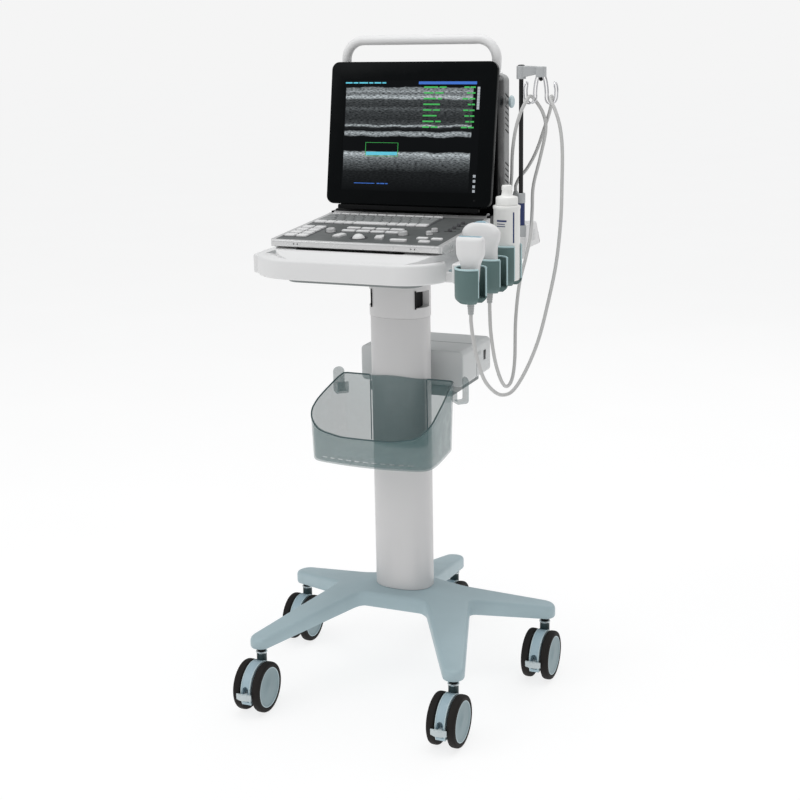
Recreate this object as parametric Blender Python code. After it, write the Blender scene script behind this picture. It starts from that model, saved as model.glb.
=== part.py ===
"""Cart-mounted ultrasound machine: trolley, folding console, probes, cords and holders."""
import math

import bmesh
import bpy
from mathutils import Matrix, Vector, geometry

# ------------------------------------------------------------------ general
GAP = 0.0003                    # clearance between touching pieces
TINY = 1e-6
SHARP_ANGLE = math.radians(35.0)
CORNER_STEPS = 4
FRAME_SHIFT_Y = 0.00494         # moves the whole machine so its box is centred on y = 0

# ------------------------------------------------------------------ base and casters
LEG_ANGLES = {"right": 20.0, "back": 90.0, "left": 160.0, "front_left": -130.0, "front_right": -50.0}
STEM_DISTANCES = {"right": 0.308, "back": 0.308, "left": 0.308, "front_left": 0.335, "front_right": 0.335}
LEG_TIP_HALF = 0.0225           # radius of the rounded tip round the stem
LEG_HEADINGS = {"right": 25.0, "back": 90.0, "left": 155.0, "front_left": -114.0, "front_right": -66.0}
LEG_SPAN = 0.200                # length of a leg from its stem to its root
LEG_ROOT_HALF = 0.043
HUB_WALLS = {("front_left", "front_right"): -0.062, ("right", "back"): 0.068, ("back", "left"): 0.068}
CROTCH_SOFTNESS = 0.014
HUB_TOP = 0.2047
HUB_BOTTOM = 0.167
HUB_RADIUS = 0.090
PAD_RADIUS = 0.040              # flat round pad under the hub
FLOOR_SLOPE = 0.187             # drop of the legs' underside per metre outwards
LEG_SLOPE = 0.179               # drop of the leg's top per metre from the hub
LEG_CROWN_Z = 0.2166            # height of the leg's top line carried to the hub axis
LEG_BOTTOM = 0.131
STEM_HOLE_RADIUS = 0.008
STEM_HOLE_TOP = 0.148
STEM_RADIUS = 0.0068
STEM_TOP = 0.1465
WHEEL_RADIUS = 0.053
WHEEL_OUTER = 0.0305            # half width over both tyres
WHEEL_INNER = 0.0130            # half gap between the tyres
CASTER_TRAIL = 0.025
AXLE_RADIUS = 0.004
HOOD_HALF = 0.0105              # half width of the hood between the tyres
HOOD_RADIUS = 0.0522
HOOD_START = 38.0               # rear end of the hood's rim seen from the axle
HOOD_END = 207.0                # low front end of the rim
WEB_RADIUS = 0.036
TUBE_RADIUS = 0.0105
TUBE_TOP = 0.1175
PEDAL_ANGLE = 183.0             # direction of the pedal arm seen from the axle
PEDAL_PIVOT = 0.040
WHEEL_STEPS = 20

# ------------------------------------------------------------------ column
COLUMN_CENTRE_Y = 0.011
COLUMN_HALF_X = 0.0635
COLUMN_HALF_Y = 0.045
COLUMN_POWER = 2.35
COLUMN_STEPS = 28
SEAM_Z = 0.800
COLUMN_TOP = 0.9032

# ------------------------------------------------------------------ tray
PLATE_BOTTOM = 0.9035
TRAY_BOTTOM = 0.912
TRAY_RIM = 0.952
DOCK_Z = 0.9642
TRAY_FRONT = -0.264
TRAY_REAR = 0.1915
TRAY_HALF = 0.205
DOCK_HALF = 0.178
RAIL_OUTER = 0.225
CUP_X = 0.25
CUP_RADIUS = 0.030
CUP_WALL = 0.003
CUP_SLOT_HALF = 24.0            # half angle of the outward slot
CUP_BOTTOM = 0.885
CUP_HOLE = 0.012
LINEAR_CUP_Y = -0.2385
CONVEX_CUP_Y = -0.120
BOTTLE_CUP_Y = -0.035
BOTTLE_CUP_RIM = 0.965
BOTTLE_TOP = 1.042

# ------------------------------------------------------------------ keyboard
DECK_SLOPE = math.radians(3.9)
DECK_ORIGIN_Y = 0.082
DECK_ORIGIN_Z = 1.0021
KEYBOARD_HALF = 0.1816
KEYBOARD_FRONT = -0.2127
KEYBOARD_BOTTOM = DOCK_Z + GAP
HINGE_Y = 0.077
HINGE_Z = 0.992
BARREL_RADIUS = 0.0165
DECK_HALF = 0.172
DECK_NEAR = -0.288
DECK_FAR = -0.028
DECK_DEPTH = 0.0018
KEY_RISE = 0.003
KEY_GAP = 0.0022
BALL_RADIUS = 0.0135
BALL_SINK = 0.0045
BALL_PLACE = (-0.008, -0.252)
SET_KEYS = {"left": (-0.060, -0.239), "right": (0.036, -0.2375)}
FREEZE_PLACE = (0.083, -0.262)
ENCODERS = {"left": (-0.089, -0.207), "right": (0.067, -0.207)}
KNOBS = {"front": (0.118, -0.196), "rear": (0.118, -0.168)}
SLIDER_X = 0.147
SLIDER_FIRST = -0.160
SLIDER_PITCH = 0.0245
SLIDER_COUNT = 4

# ------------------------------------------------------------------ display and main unit
LCD_TILT = math.radians(9.8)
LCD_FRONT_Y = 0.0507
LCD_BOTTOM_Z = 1.0223
LCD_HALF = 0.184
LCD_HEIGHT = 0.294
LCD_DEPTH = 0.0155
PANEL_HALF = 0.152
PANEL_LOW = 0.0288
PANEL_HIGH = 0.2568
UNIT_HALF = 0.180
UNIT_FRONT = 0.112
UNIT_SEAM = 0.150
UNIT_REAR = 0.187
UNIT_TOP = 1.283
HANDLE_Y = 0.140
HANDLE_HALF = 0.168
HANDLE_TOP = 1.3545
HANDLE_BEND = 0.040
HANDLE_RADIUS = 0.010
PEG_Y = 0.165
PEG_Z = 1.228

# ------------------------------------------------------------------ pole and hook
POLE_X = 0.232
POLE_Y = 0.105
ROD_RADIUS = 0.0045
BORE_RADIUS = 0.0049
SOCKET_RADIUS = 0.012
HOOK_X = 0.275
HOOK_Y = 0.100
HOOK_SPREAD = 0.009
WIRE_RADIUS = 0.0015
ARM_BOTTOM = 1.278
ARM_TOP = 1.302

# ------------------------------------------------------------------ cords
CORD_RADIUS = 0.0035
CORD_POINTS = 56
CORD_LEAD = 0.011               # straight length at either end
LINEAR_EXIT = (0.250, -0.2385, 0.8620)
CONVEX_EXIT = (0.2445, -0.1200, 0.8625)
LINEAR_PLUG_EXIT = (0.1960, 0.1780, 1.0440)
CONVEX_PLUG_EXIT = (0.1935, 0.1520, 1.0400)
LINEAR_ROUTE = (
    (0.2520, -0.2350, 0.8214), (0.2567, -0.2250, 0.7783),
    (0.2614, -0.2000, 0.7313), (0.2700, -0.1700, 0.7013), (0.2787, -0.1400, 0.6869),
    (0.2899, -0.1100, 0.6906), (0.3022, -0.0700, 0.7227), (0.3137, -0.0300, 0.7737),
    (0.3223, 0.0000, 0.8372), (0.3309, 0.0300, 0.9191), (0.3343, 0.0480, 1.0024),
    (0.3325, 0.0600, 1.0750), (0.3300, 0.0680, 1.1400), (0.3230, 0.0740, 1.1850),
    (0.3110, 0.0785, 1.2180), (0.2995, 0.0850, 1.2362), (0.2968, 0.1000, 1.2428),
    (0.2940, 0.1150, 1.2366), (0.2840, 0.1310, 1.2120), (0.2700, 0.1430, 1.1800),
    (0.2500, 0.1500, 1.1300), (0.2280, 0.1600, 1.0950), (0.2060, 0.1720, 1.0720))
CONVEX_ROUTE = (
    (0.2461, -0.1180, 0.8035), (0.2482, -0.1000, 0.7445),
    (0.2501, -0.0700, 0.6983), (0.2515, -0.0400, 0.6780), (0.2526, -0.0100, 0.6866),
    (0.2500, 0.0150, 0.7224), (0.2450, 0.0350, 0.8000), (0.2460, 0.0550, 0.8700),
    (0.2510, 0.0800, 0.9200), (0.2530, 0.1050, 0.9650), (0.2480, 0.1300, 1.0100),
    (0.2480, 0.1370, 1.0600), (0.2640, 0.1330, 1.1200), (0.2770, 0.1270, 1.1750),
    (0.2720, 0.1240, 1.2080), (0.2570, 0.1170, 1.2345), (0.2530, 0.1000, 1.2428),
    (0.2505, 0.0850, 1.2362), (0.2400, 0.0780, 1.2120), (0.2270, 0.0840, 1.1757),
    (0.2120, 0.1100, 1.1298), (0.1985, 0.1450, 1.0800))

# ------------------------------------------------------------------ basket and power box
BASKET_BOTTOM = 0.520
BASKET_WALL = 0.0025
BASKET_REAR = -0.005
BASKET_FRONT = -0.180
BASKET_CREST = 0.6705           # height of the rim along the rear
HOOK_TOP = 0.679
BOX_HALF = 0.118
BOX_FRONT = 0.0662
BOX_REAR = 0.237
BOX_BOTTOM = 0.6395
BOX_TOP = 0.7165

AXIS_ORDER = {"x": (2, 0, 1), "y": (0, 2, 1), "z": (0, 1, 2)}

# name: (red, green, blue) as displayed, roughness, metallic
FINISHES = {
    "cool_grey_paint": ((0.56, 0.64, 0.66), 0.42, 0.0),
    "pale_blue_plastic": ((0.66, 0.75, 0.78), 0.40, 0.0),
    "tyre_black": ((0.16, 0.15, 0.15), 0.72, 0.0),
    "pedal_grey": ((0.80, 0.83, 0.83), 0.45, 0.0),
    "column_grey": ((0.72, 0.715, 0.71), 0.35, 0.1),
    "tray_white": ((0.90, 0.90, 0.90), 0.38, 0.0),
    "holder_teal": ((0.36, 0.46, 0.455), 0.48, 0.0),
    "basket_teal": ((0.49, 0.57, 0.57), 0.35, 0.0),
    "box_grey": ((0.82, 0.83, 0.83), 0.42, 0.0),
    "silver_case": ((0.78, 0.78, 0.79), 0.32, 0.3),
    "key_white": ((0.85, 0.85, 0.85), 0.45, 0.0),
    "control_grey": ((0.30, 0.30, 0.31), 0.45, 0.0),
    "gloss_black": ((0.05, 0.06, 0.07), 0.22, 0.0),
    "screen_glass": ((0.08, 0.09, 0.10), 0.12, 0.0),
    "unit_grey": ((0.55, 0.57, 0.58), 0.42, 0.0),
    "rod_black": ((0.06, 0.06, 0.065), 0.18, 0.2),
    "clamp_grey": ((0.62, 0.63, 0.64), 0.38, 0.0),
    "chrome_wire": ((0.80, 0.80, 0.80), 0.15, 1.0),
    "cord_grey": ((0.77, 0.77, 0.77), 0.50, 0.0),
    "gel_bottle_white": ((0.92, 0.92, 0.90), 0.35, 0.0),
    "cap_white": ((0.95, 0.95, 0.94), 0.35, 0.0),
    "switch_black": ((0.07, 0.07, 0.07), 0.35, 0.0),
}


# ------------------------------------------------------------------ outlines
def arc(centre_a, centre_b, radius, start, end, steps=CORNER_STEPS):
    """Points of a circular arc from start to end degrees, both ends included."""
    points = []
    for index in range(steps + 1):
        angle = math.radians(start + (end - start) * index / steps)
        points.append((centre_a + radius * math.cos(angle), centre_b + radius * math.sin(angle)))
    return points


def rounded_rect(low_a, high_a, low_b, high_b, radii, steps=CORNER_STEPS):
    """Counter-clockwise rounded rectangle; radii start at the low/low corner."""
    near_left, near_right, far_right, far_left = radii
    points = arc(low_a + near_left, low_b + near_left, near_left, 180, 270, steps)
    points += arc(high_a - near_right, low_b + near_right, near_right, 270, 360, steps)
    points += arc(high_a - far_right, high_b - far_right, far_right, 0, 90, steps)
    points += arc(low_a + far_left, high_b - far_left, far_left, 90, 180, steps)
    return points


def circle(centre_a, centre_b, radius, steps):
    """Regular outline round a centre."""
    return arc(centre_a, centre_b, radius, 0, 360 * (steps - 1) / steps, steps - 1)


def oval(centre_a, centre_b, half_a, half_b, power, steps):
    """Superellipse outline."""
    points = []
    for index in range(steps):
        angle = 2 * math.pi * index / steps
        cosine, sine = math.cos(angle), math.sin(angle)
        reach_a = half_a * math.copysign(abs(cosine) ** (2 / power), cosine)
        reach_b = half_b * math.copysign(abs(sine) ** (2 / power), sine)
        points.append((centre_a + reach_a, centre_b + reach_b))
    return points


def hull(points):
    """Convex outline round a set of points, counter-clockwise."""
    ordered = sorted(set(points))
    chains = []
    for sequence in (ordered, ordered[::-1]):
        chain = []
        for point in sequence:
            while len(chain) > 1 and turn(chain[-2], chain[-1], point) <= TINY * TINY:
                chain.pop()
            chain.append(point)
        chains.append(chain[:-1])
    return chains[0] + chains[1]


def turn(first, second, third):
    """Signed area of the corner first, second, third."""
    step_a = (second[0] - first[0], second[1] - first[1])
    step_b = (third[0] - first[0], third[1] - first[1])
    return step_a[0] * step_b[1] - step_a[1] * step_b[0]


def inset(outline, distance):
    """Outline moved inwards by the distance, its corners mitred."""
    if distance == 0:
        return list(outline)
    count = len(outline)
    moved = []
    for index in range(count):
        before, here = Vector(outline[index - 1]), Vector(outline[index])
        after = Vector(outline[(index + 1) % count])
        first, second = (here - before).normalized(), (after - here).normalized()
        normal_a, normal_b = Vector((-first.y, first.x)), Vector((-second.y, second.x))
        mitre = (normal_a + normal_b) / (1 + normal_a.dot(normal_b))
        moved.append(tuple(here + mitre * distance))
    return moved


# ------------------------------------------------------------------ solids
def lift(point, axis, level):
    """A flat outline point put at a level along the given axis."""
    values = (point[0], point[1], level)
    order = AXIS_ORDER[axis]
    return tuple(values[order[index]] for index in range(3))


def loft(rings, closed=False):
    """Closed body through equal rings of points, flat caps at both ends."""
    body = bmesh.new()
    rows = [[body.verts.new(point) for point in ring] for ring in rings]
    pairs = list(zip(rows, rows[1:]))
    if closed:
        pairs.append((rows[-1], rows[0]))
    count = len(rows[0])
    for low, high in pairs:
        for index in range(count):
            following = (index + 1) % count
            body.faces.new((low[index], low[following], high[following], high[index]))
    if not closed:
        body.faces.new(rows[0][::-1])
        body.faces.new(rows[-1])
    return body


def slab(outline, axis, low, high, edge=0.0):
    """Outline pushed along an axis, its end edges chamfered."""
    levels = ((low, 0.0), (high, 0.0))
    if edge:
        levels = ((low, edge), (low + edge, 0.0), (high - edge, 0.0), (high, edge))
    return loft([[lift(point, axis, level) for point in inset(outline, cut)] for level, cut in levels])


def block(low, high, radius=0.0, edge=0.0, axis="z"):
    """Box between two corners; corner radius about the axis, chamfer along it."""
    flat = {"x": (1, 2, 0), "y": (0, 2, 1), "z": (0, 1, 2)}[axis]
    side_a, side_b, height = flat
    if radius:
        outline = rounded_rect(low[side_a], high[side_a], low[side_b], high[side_b], (radius,) * 4)
    else:
        outline = [(low[side_a], low[side_b]), (high[side_a], low[side_b]),
                   (high[side_a], high[side_b]), (low[side_a], high[side_b])]
    return slab(outline, axis, low[height], high[height], edge)


def turned(profile, centre, axis="z", steps=WHEEL_STEPS, closed=False):
    """Body turned about an axis from (radius, height) pairs."""
    body = bmesh.new()
    rows = []
    for radius, height in profile:
        outline = circle(0.0, 0.0, radius, steps) if radius > TINY else [(0.0, 0.0)]
        points = [Vector(lift(point, axis, height)) + Vector(centre) for point in outline]
        rows.append([body.verts.new(point) for point in points])
    pairs = list(zip(rows, rows[1:]))
    if closed:
        pairs.append((rows[-1], rows[0]))
    for low, high in pairs:
        for index in range(steps):
            following = (index + 1) % steps
            if len(low) == 1:
                body.faces.new((low[0], high[following], high[index]))
            elif len(high) == 1:
                body.faces.new((low[index], low[following], high[0]))
            else:
                body.faces.new((low[index], low[following], high[following], high[index]))
    return body


def rod(centre, radius, low, high, axis="z", steps=16):
    """Plain cylinder along an axis."""
    return turned(((0.0, low), (radius, low), (radius, high), (0.0, high)), centre, axis, steps)


def swept(path, radii, sides):
    """Round tube through the points, with a radius at each of them."""
    points = [Vector(point) for point in path]
    side = None
    rings = []
    for index, point in enumerate(points):
        ahead = points[min(index + 1, len(points) - 1)] - points[max(index - 1, 0)]
        ahead.normalize()
        if side is None:
            side = ahead.orthogonal().normalized()
        side = (side - ahead * side.dot(ahead)).normalized()
        other = ahead.cross(side)
        ring = []
        for step in range(sides):
            angle = 2 * math.pi * step / sides
            ring.append(point + (side * math.cos(angle) + other * math.sin(angle)) * radii[index])
        rings.append(ring)
    return loft(rings)


def smooth_path(points, count):
    """Evenly spaced points of the smooth curve through the given ones."""
    nodes = [Vector(point) for point in points]
    nodes = [nodes[0] * 2 - nodes[1]] + nodes + [nodes[-1] * 2 - nodes[-2]]
    fine = []
    per_span = 24
    for index in range(1, len(nodes) - 2):
        before, start, end, after = nodes[index - 1:index + 3]
        for step in range(per_span):
            share = step / per_span
            fine.append(0.5 * (2 * start + (end - before) * share
                               + (2 * before - 5 * start + 4 * end - after) * share ** 2
                               + (3 * start - before - 3 * end + after) * share ** 3))
    fine.append(nodes[-2])
    travelled = [0.0]
    for first, second in zip(fine, fine[1:]):
        travelled.append(travelled[-1] + (second - first).length)
    spaced = []
    cursor = 0
    for index in range(count):
        target = travelled[-1] * index / (count - 1)
        while cursor < len(fine) - 2 and travelled[cursor + 1] < target:
            cursor += 1
        span = travelled[cursor + 1] - travelled[cursor]
        share = (target - travelled[cursor]) / span if span else 0.0
        spaced.append(fine[cursor].lerp(fine[cursor + 1], min(share, 1.0)))
    return spaced


# ------------------------------------------------------------------ combining
def scratch_object(body):
    """Short-lived object that carries a body through a Boolean."""
    mesh = bpy.data.meshes.new("scratch")
    bmesh.ops.recalc_face_normals(body, faces=body.faces)
    body.to_mesh(mesh)
    body.free()
    holder = bpy.data.objects.new("scratch", mesh)
    bpy.context.scene.collection.objects.link(holder)
    return holder


def combine(body, tools, operation):
    """The body with every tool joined to it, cut from it or kept in common."""
    host = scratch_object(body)
    helpers = [scratch_object(tool) for tool in tools]
    for helper in helpers:
        step = host.modifiers.new("combine", "BOOLEAN")
        step.operation = operation
        step.solver = "EXACT"
        step.object = helper
    bpy.context.view_layer.update()
    graph = bpy.context.evaluated_depsgraph_get()
    result = bmesh.new()
    result.from_mesh(host.evaluated_get(graph).data)
    for used in [host] + helpers:
        mesh = used.data
        bpy.data.objects.remove(used)
        bpy.data.meshes.remove(mesh)
    bmesh.ops.remove_doubles(result, verts=result.verts, dist=TINY)
    bmesh.ops.dissolve_degenerate(result, edges=result.edges, dist=TINY)
    return result


def join(bodies):
    """Several separate bodies in one mesh, for use as one tool."""
    combined = bmesh.new()
    for body in bodies:
        mesh = bpy.data.meshes.new("scratch")
        body.to_mesh(mesh)
        body.free()
        combined.from_mesh(mesh)
        bpy.data.meshes.remove(mesh)
    return combined


def turn_and_move(body, matrix):
    """The body put through a transform."""
    bmesh.ops.transform(body, matrix=matrix, verts=body.verts)
    return body


# ------------------------------------------------------------------ materials and objects
def linear_channel(value):
    """Displayed colour value as linear light."""
    if value <= 0.04045:
        return value / 12.92
    return ((value + 0.055) / 1.055) ** 2.4


def make_material(name):
    """Principled material of one finish."""
    colour, roughness, metallic = FINISHES[name]
    material = bpy.data.materials.new(name)
    material.use_nodes = True
    shader = material.node_tree.nodes["Principled BSDF"]
    shader.inputs["Base Color"].default_value = [linear_channel(value) for value in colour] + [1.0]
    shader.inputs["Roughness"].default_value = roughness
    shader.inputs["Metallic"].default_value = metallic
    material.diffuse_color = list(colour) + [1.0]
    return material


def add_mesh_object(name, mesh, origin):
    """Object of a mesh at an origin given in the machine's own frame."""
    piece = bpy.data.objects.new(name, mesh)
    piece.location = (origin[0], origin[1] + FRAME_SHIFT_Y, origin[2])
    bpy.context.scene.collection.objects.link(piece)
    return piece


def piece_mesh(name, body, finish, origin):
    """Mesh of a body measured from its origin, smooth on its rounded parts."""
    bmesh.ops.translate(body, verts=body.verts, vec=-Vector(origin))
    bmesh.ops.recalc_face_normals(body, faces=body.faces)
    mesh = bpy.data.meshes.new(name)
    body.to_mesh(mesh)
    body.free()
    mesh.materials.append(MATERIALS[finish])
    mesh.polygons.foreach_set("use_smooth", [True] * len(mesh.polygons))
    mesh.set_sharp_from_angle(angle=SHARP_ANGLE)
    return mesh


def add_piece(name, body, finish, origin=(0.0, 0.0, 0.0)):
    """One named sub-part with its origin where it turns or sits."""
    return add_mesh_object(name, piece_mesh(name, body, finish, origin), origin)


# ------------------------------------------------------------------ base and casters
def stem_place(label):
    """Floor point under the caster stem of one leg."""
    turned_by = math.radians(LEG_ANGLES[label])
    reach = STEM_DISTANCES[label]
    return reach * math.cos(turned_by), reach * math.sin(turned_by)


def leg_side(label, side):
    """Side line of a leg: its floor points beside the stem and at the root."""
    heading = math.radians(LEG_HEADINGS[label])
    along, across = Vector((math.cos(heading), math.sin(heading))), Vector((-math.sin(heading), math.cos(heading)))
    stem = Vector(stem_place(label))
    return stem + across * side * LEG_TIP_HALF, stem - along * LEG_SPAN + across * side * LEG_ROOT_HALF


def crossing(first, second):
    """Floor point where two lines, each given by two points, cross."""
    along, across = first[1] - first[0], second[1] - second[0]
    return first[0] + along * ((second[0] - first[0]).cross(across) / along.cross(across))


def fillet(before, corner, after, steps):
    """Soft curve in place of a corner."""
    start = corner + (before - corner).normalized() * CROTCH_SOFTNESS
    end = corner + (after - corner).normalized() * CROTCH_SOFTNESS
    shares = [index / steps for index in range(steps + 1)]
    return [start * (1 - share) ** 2 + corner * 2 * share * (1 - share) + end * share ** 2 for share in shares]


def star_outline(tip_steps, soft_steps):
    """Outline of the base from above: five legs leaving a broad hub with straight front and rear walls."""
    order = sorted(LEG_HEADINGS, key=LEG_HEADINGS.get)
    points = []
    for index, label in enumerate(order):
        following = order[(index + 1) % len(order)]
        stem_x, stem_y = stem_place(label)
        heading = LEG_HEADINGS[label]
        points += [Vector(point) for point in
                   arc(stem_x, stem_y, LEG_TIP_HALF, heading - 84, heading + 84, tip_steps)]
        near, far = leg_side(label, 1), leg_side(following, -1)
        level = HUB_WALLS.get((label, following))
        if level is None:
            corners = [crossing(near, far)]
        else:
            wall = Vector((-1.0, level)), Vector((1.0, level))
            corners = [crossing(near, wall), crossing(wall, far)]
        chain = [near[0]] + corners + [far[0]]
        for step in range(1, len(chain) - 1):
            points += fillet(chain[step - 1], chain[step], chain[step + 1], soft_steps)
    return [tuple(point) for point in points]


def leg_top(point):
    """Height of the base's top over a floor point."""
    return min(HUB_TOP, LEG_CROWN_Z - LEG_SLOPE * math.hypot(point[0], point[1]))


def leg_floor(point):
    """Height of the base's underside over a floor point."""
    reach = math.hypot(point[0], point[1]) - HUB_RADIUS
    return max(LEG_BOTTOM, HUB_BOTTOM - FLOOR_SLOPE * max(0.0, reach))


def capped_loft(rings, low_pad, high_pad):
    """Closed body through equal rings, each end closed round a flat pad."""
    body = bmesh.new()
    rows = [[body.verts.new(point) for point in ring] for ring in rings]
    count = len(rows[0])
    for low, high in zip(rows, rows[1:]):
        for index in range(count):
            following = (index + 1) % count
            body.faces.new((low[index], low[following], high[following], high[index]))
    for row, pad in ((rows[0], low_pad), (rows[-1], high_pad)):
        inner = [body.verts.new(point) for point in pad]
        corners = row + inner
        edges = [(index, (index + 1) % count) for index in range(count)]
        edges += [(count + index, count + (index + 1) % len(pad)) for index in range(len(pad))]
        places = [Vector(corner.co[:2]) for corner in corners]
        found = geometry.delaunay_2d_cdt(places, edges, [], 1, TINY)
        for face in found[2]:
            body.faces.new([corners[found[3][index][0]] for index in face])
    bmesh.ops.recalc_face_normals(body, faces=body.faces)
    return body


def make_base():
    """Five-legged base: broad hub, legs sloping down from it, stem holes underneath."""
    outline = star_outline(6, 2)
    rings = []
    for cut, rise in ((0.004, 0.0), (0.0, 0.004)):
        rings.append([(a, b, leg_floor((a, b)) + rise) for a, b in inset(outline, cut)])
    for cut, drop in ((0.0, 0.008), (0.0024, 0.0024), (0.008, 0.0)):
        rings.append([(a, b, leg_top((a, b)) - drop) for a, b in inset(outline, cut)])
    under = [(a, b, HUB_BOTTOM) for a, b in circle(0.0, 0.0, PAD_RADIUS, 24)]
    foot = oval(0.0, COLUMN_CENTRE_Y, COLUMN_HALF_X + 0.0035, COLUMN_HALF_Y + 0.0035, COLUMN_POWER, 28)
    body = capped_loft(rings, under, [(a, b, HUB_TOP) for a, b in foot])
    holes = []
    for label in LEG_ANGLES:
        stem_x, stem_y = stem_place(label)
        low = LEG_BOTTOM - 0.01
        holes.append(rod((stem_x, stem_y, 0.0), STEM_HOLE_RADIUS, low, STEM_HOLE_TOP, steps=12))
    add_piece("base_star", combine(body, [join(holes)], "DIFFERENCE"), "cool_grey_paint")


def fork_body():
    """Caster fork: hood between the tyres, tube, neck and stem, a pedal window and the axle bore."""
    web = arc(-CASTER_TRAIL, WHEEL_RADIUS, HOOD_RADIUS, HOOD_START, HOOD_END, 17)
    web += arc(-CASTER_TRAIL, WHEEL_RADIUS, WEB_RADIUS, HOOD_END + 12, HOOD_START + 348, 9)
    body = slab(web, "x", -HOOD_HALF, HOOD_HALF, 0.001)
    tube_low = WHEEL_RADIUS + 0.040
    tube = ((0.0, tube_low), (TUBE_RADIUS - 0.0004, tube_low), (TUBE_RADIUS - 0.0004, TUBE_TOP),
            (0.0115, TUBE_TOP), (0.0115, TUBE_TOP + 0.004), (0.0076, TUBE_TOP + 0.005),
            (0.0076, LEG_BOTTOM - GAP), (STEM_RADIUS, LEG_BOTTOM - GAP), (STEM_RADIUS, STEM_TOP),
            (0.0, STEM_TOP))
    body = combine(body, [turned(tube, (0.0, 0.0, 0.0), steps=16)], "UNION")
    reach = HOOD_HALF * 2
    bore = rod((0.0, -CASTER_TRAIL, WHEEL_RADIUS), AXLE_RADIUS + 0.0006, -reach, reach, "x", 12)
    window = block((-0.0062, 0.034, -0.013), (0.0062, 0.08, 0.017))
    window = turn_and_move(window, pedal_matrix())
    window = turn_and_move(window, Matrix.Translation((0.0, -CASTER_TRAIL, WHEEL_RADIUS)))
    return combine(body, [bore, window], "DIFFERENCE")


def wheel_body():
    """Two tyres on hub discs joined by the axle between them."""
    half = (
        (0.0, WHEEL_OUTER - 0.0015), (0.0425, WHEEL_OUTER - 0.0015), (0.0440, WHEEL_OUTER - 0.0005),
        (0.0490, WHEEL_OUTER - 0.0020), (WHEEL_RADIUS, WHEEL_OUTER - 0.0065),
        (WHEEL_RADIUS, WHEEL_INNER + 0.003), (0.0510, WHEEL_INNER), (AXLE_RADIUS, WHEEL_INNER))
    profile = list(half) + [(radius, -reach) for radius, reach in half[::-1]]
    return turned(profile, (0.0, 0.0, 0.0), "x")


def pedal_matrix():
    """Turn from straight behind the axle to the pedal's own direction."""
    return Matrix.Rotation(math.radians(PEDAL_ANGLE), 4, "X")


def pedal_body():
    """Brake pedal: arm out of the hood's window ending in a faceted cross bar ahead of the tyres."""
    arm = block((-0.0042, 0.0370, -0.004), (0.0042, 0.0590, 0.004), 0.0015)
    bar = [(-0.0165, 0.0570), (0.0165, 0.0570), (0.0165, 0.0590), (0.0060, 0.0640), (-0.0060, 0.0640),
           (-0.0165, 0.0590)]
    body = combine(arm, [slab(bar, "z", -0.0075, 0.0045, 0.001)], "UNION")
    return turn_and_move(body, pedal_matrix())


def make_casters():
    """Five casters: fork on its stem, wheel pair on its axle, pedal on its pivot."""
    meshes = {
        "fork": piece_mesh("caster_fork", fork_body(), "pale_blue_plastic", (0.0, 0.0, 0.0)),
        "wheels": piece_mesh("caster_wheels", wheel_body(), "tyre_black", (0.0, 0.0, 0.0)),
    }
    pedal_turn = math.radians(PEDAL_ANGLE)
    pivot = (0.0, PEDAL_PIVOT * math.cos(pedal_turn), PEDAL_PIVOT * math.sin(pedal_turn))
    meshes["pedal"] = piece_mesh("brake_pedal", pedal_body(), "pedal_grey", pivot)
    for label in LEG_ANGLES:
        stem_x, stem_y = stem_place(label)
        axle = (stem_x, stem_y - CASTER_TRAIL, WHEEL_RADIUS)
        add_mesh_object("caster_fork_" + label, meshes["fork"], (stem_x, stem_y, 0.0))
        add_mesh_object("caster_wheels_" + label, meshes["wheels"], axle)
        pedal_at = tuple(a + b for a, b in zip(axle, pivot))
        add_mesh_object("brake_pedal_" + label, meshes["pedal"], pedal_at)


# ------------------------------------------------------------------ column
def make_column():
    """Oval column in two lengths, the upper cover with a notch on either side."""
    outline = oval(0.0, COLUMN_CENTRE_Y, COLUMN_HALF_X, COLUMN_HALF_Y, COLUMN_POWER, COLUMN_STEPS)
    add_piece("column", slab(outline, "z", HUB_TOP + GAP, SEAM_Z, 0.001), "column_grey")
    cover = slab(inset(outline, -0.0015), "z", SEAM_Z + GAP, COLUMN_TOP, 0.001)
    notch_low, notch_high = 0.822, 0.855
    notches = []
    for side in (-1, 1):
        ends = sorted((side * 0.052, side * 0.08))
        notches.append(block((ends[0], -0.022, notch_low), (ends[1], 0.010, notch_high)))
    add_piece("column_cover", combine(cover, [join(notches)], "DIFFERENCE"), "column_grey")


# ------------------------------------------------------------------ basket
def basket_plan(half, front):
    """Basket outline: bowed front, straight rear to either side, a bay round the column."""
    middle = 0.5 * (front + 0.060)
    points = []
    for index in range(13):
        angle = math.pi * (1 + index / 12)
        cosine, sine = math.cos(angle), math.sin(angle)
        side = half * math.copysign(abs(cosine) ** 0.4, cosine)
        points.append((side, middle - (middle - front) * abs(sine) ** 0.4))
    points += arc(half - 0.012, BASKET_REAR - 0.012, 0.012, 0, 90, 3)
    bay = oval(0.0, COLUMN_CENTRE_Y, COLUMN_HALF_X + 0.0016, COLUMN_HALF_Y + 0.0016, COLUMN_POWER, 32)
    bay = sorted((point for point in bay if point[1] < BASKET_REAR - 0.002), reverse=True)
    points += [(0.0640, BASKET_REAR)] + bay + [(-0.0640, BASKET_REAR)]
    return points + arc(-half + 0.012, BASKET_REAR - 0.012, 0.012, 90, 180, 3)


def basket_shell(depth):
    """Tapered tub body, shrunk inwards by the given depth."""
    low, high = basket_plan(0.125, BASKET_FRONT + 0.002), basket_plan(0.132, BASKET_FRONT)
    floor = BASKET_BOTTOM + depth
    top = BASKET_CREST + (0.02 if depth else 0.0)
    rings = [[(a, b, floor) for a, b in inset(low, 0.004 + depth)]]
    rings.append([(a, b, floor + 0.004) for a, b in inset(low, depth)])
    rings.append([(a, b, top) for a, b in inset(high, depth)])
    return loft(rings)


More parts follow.
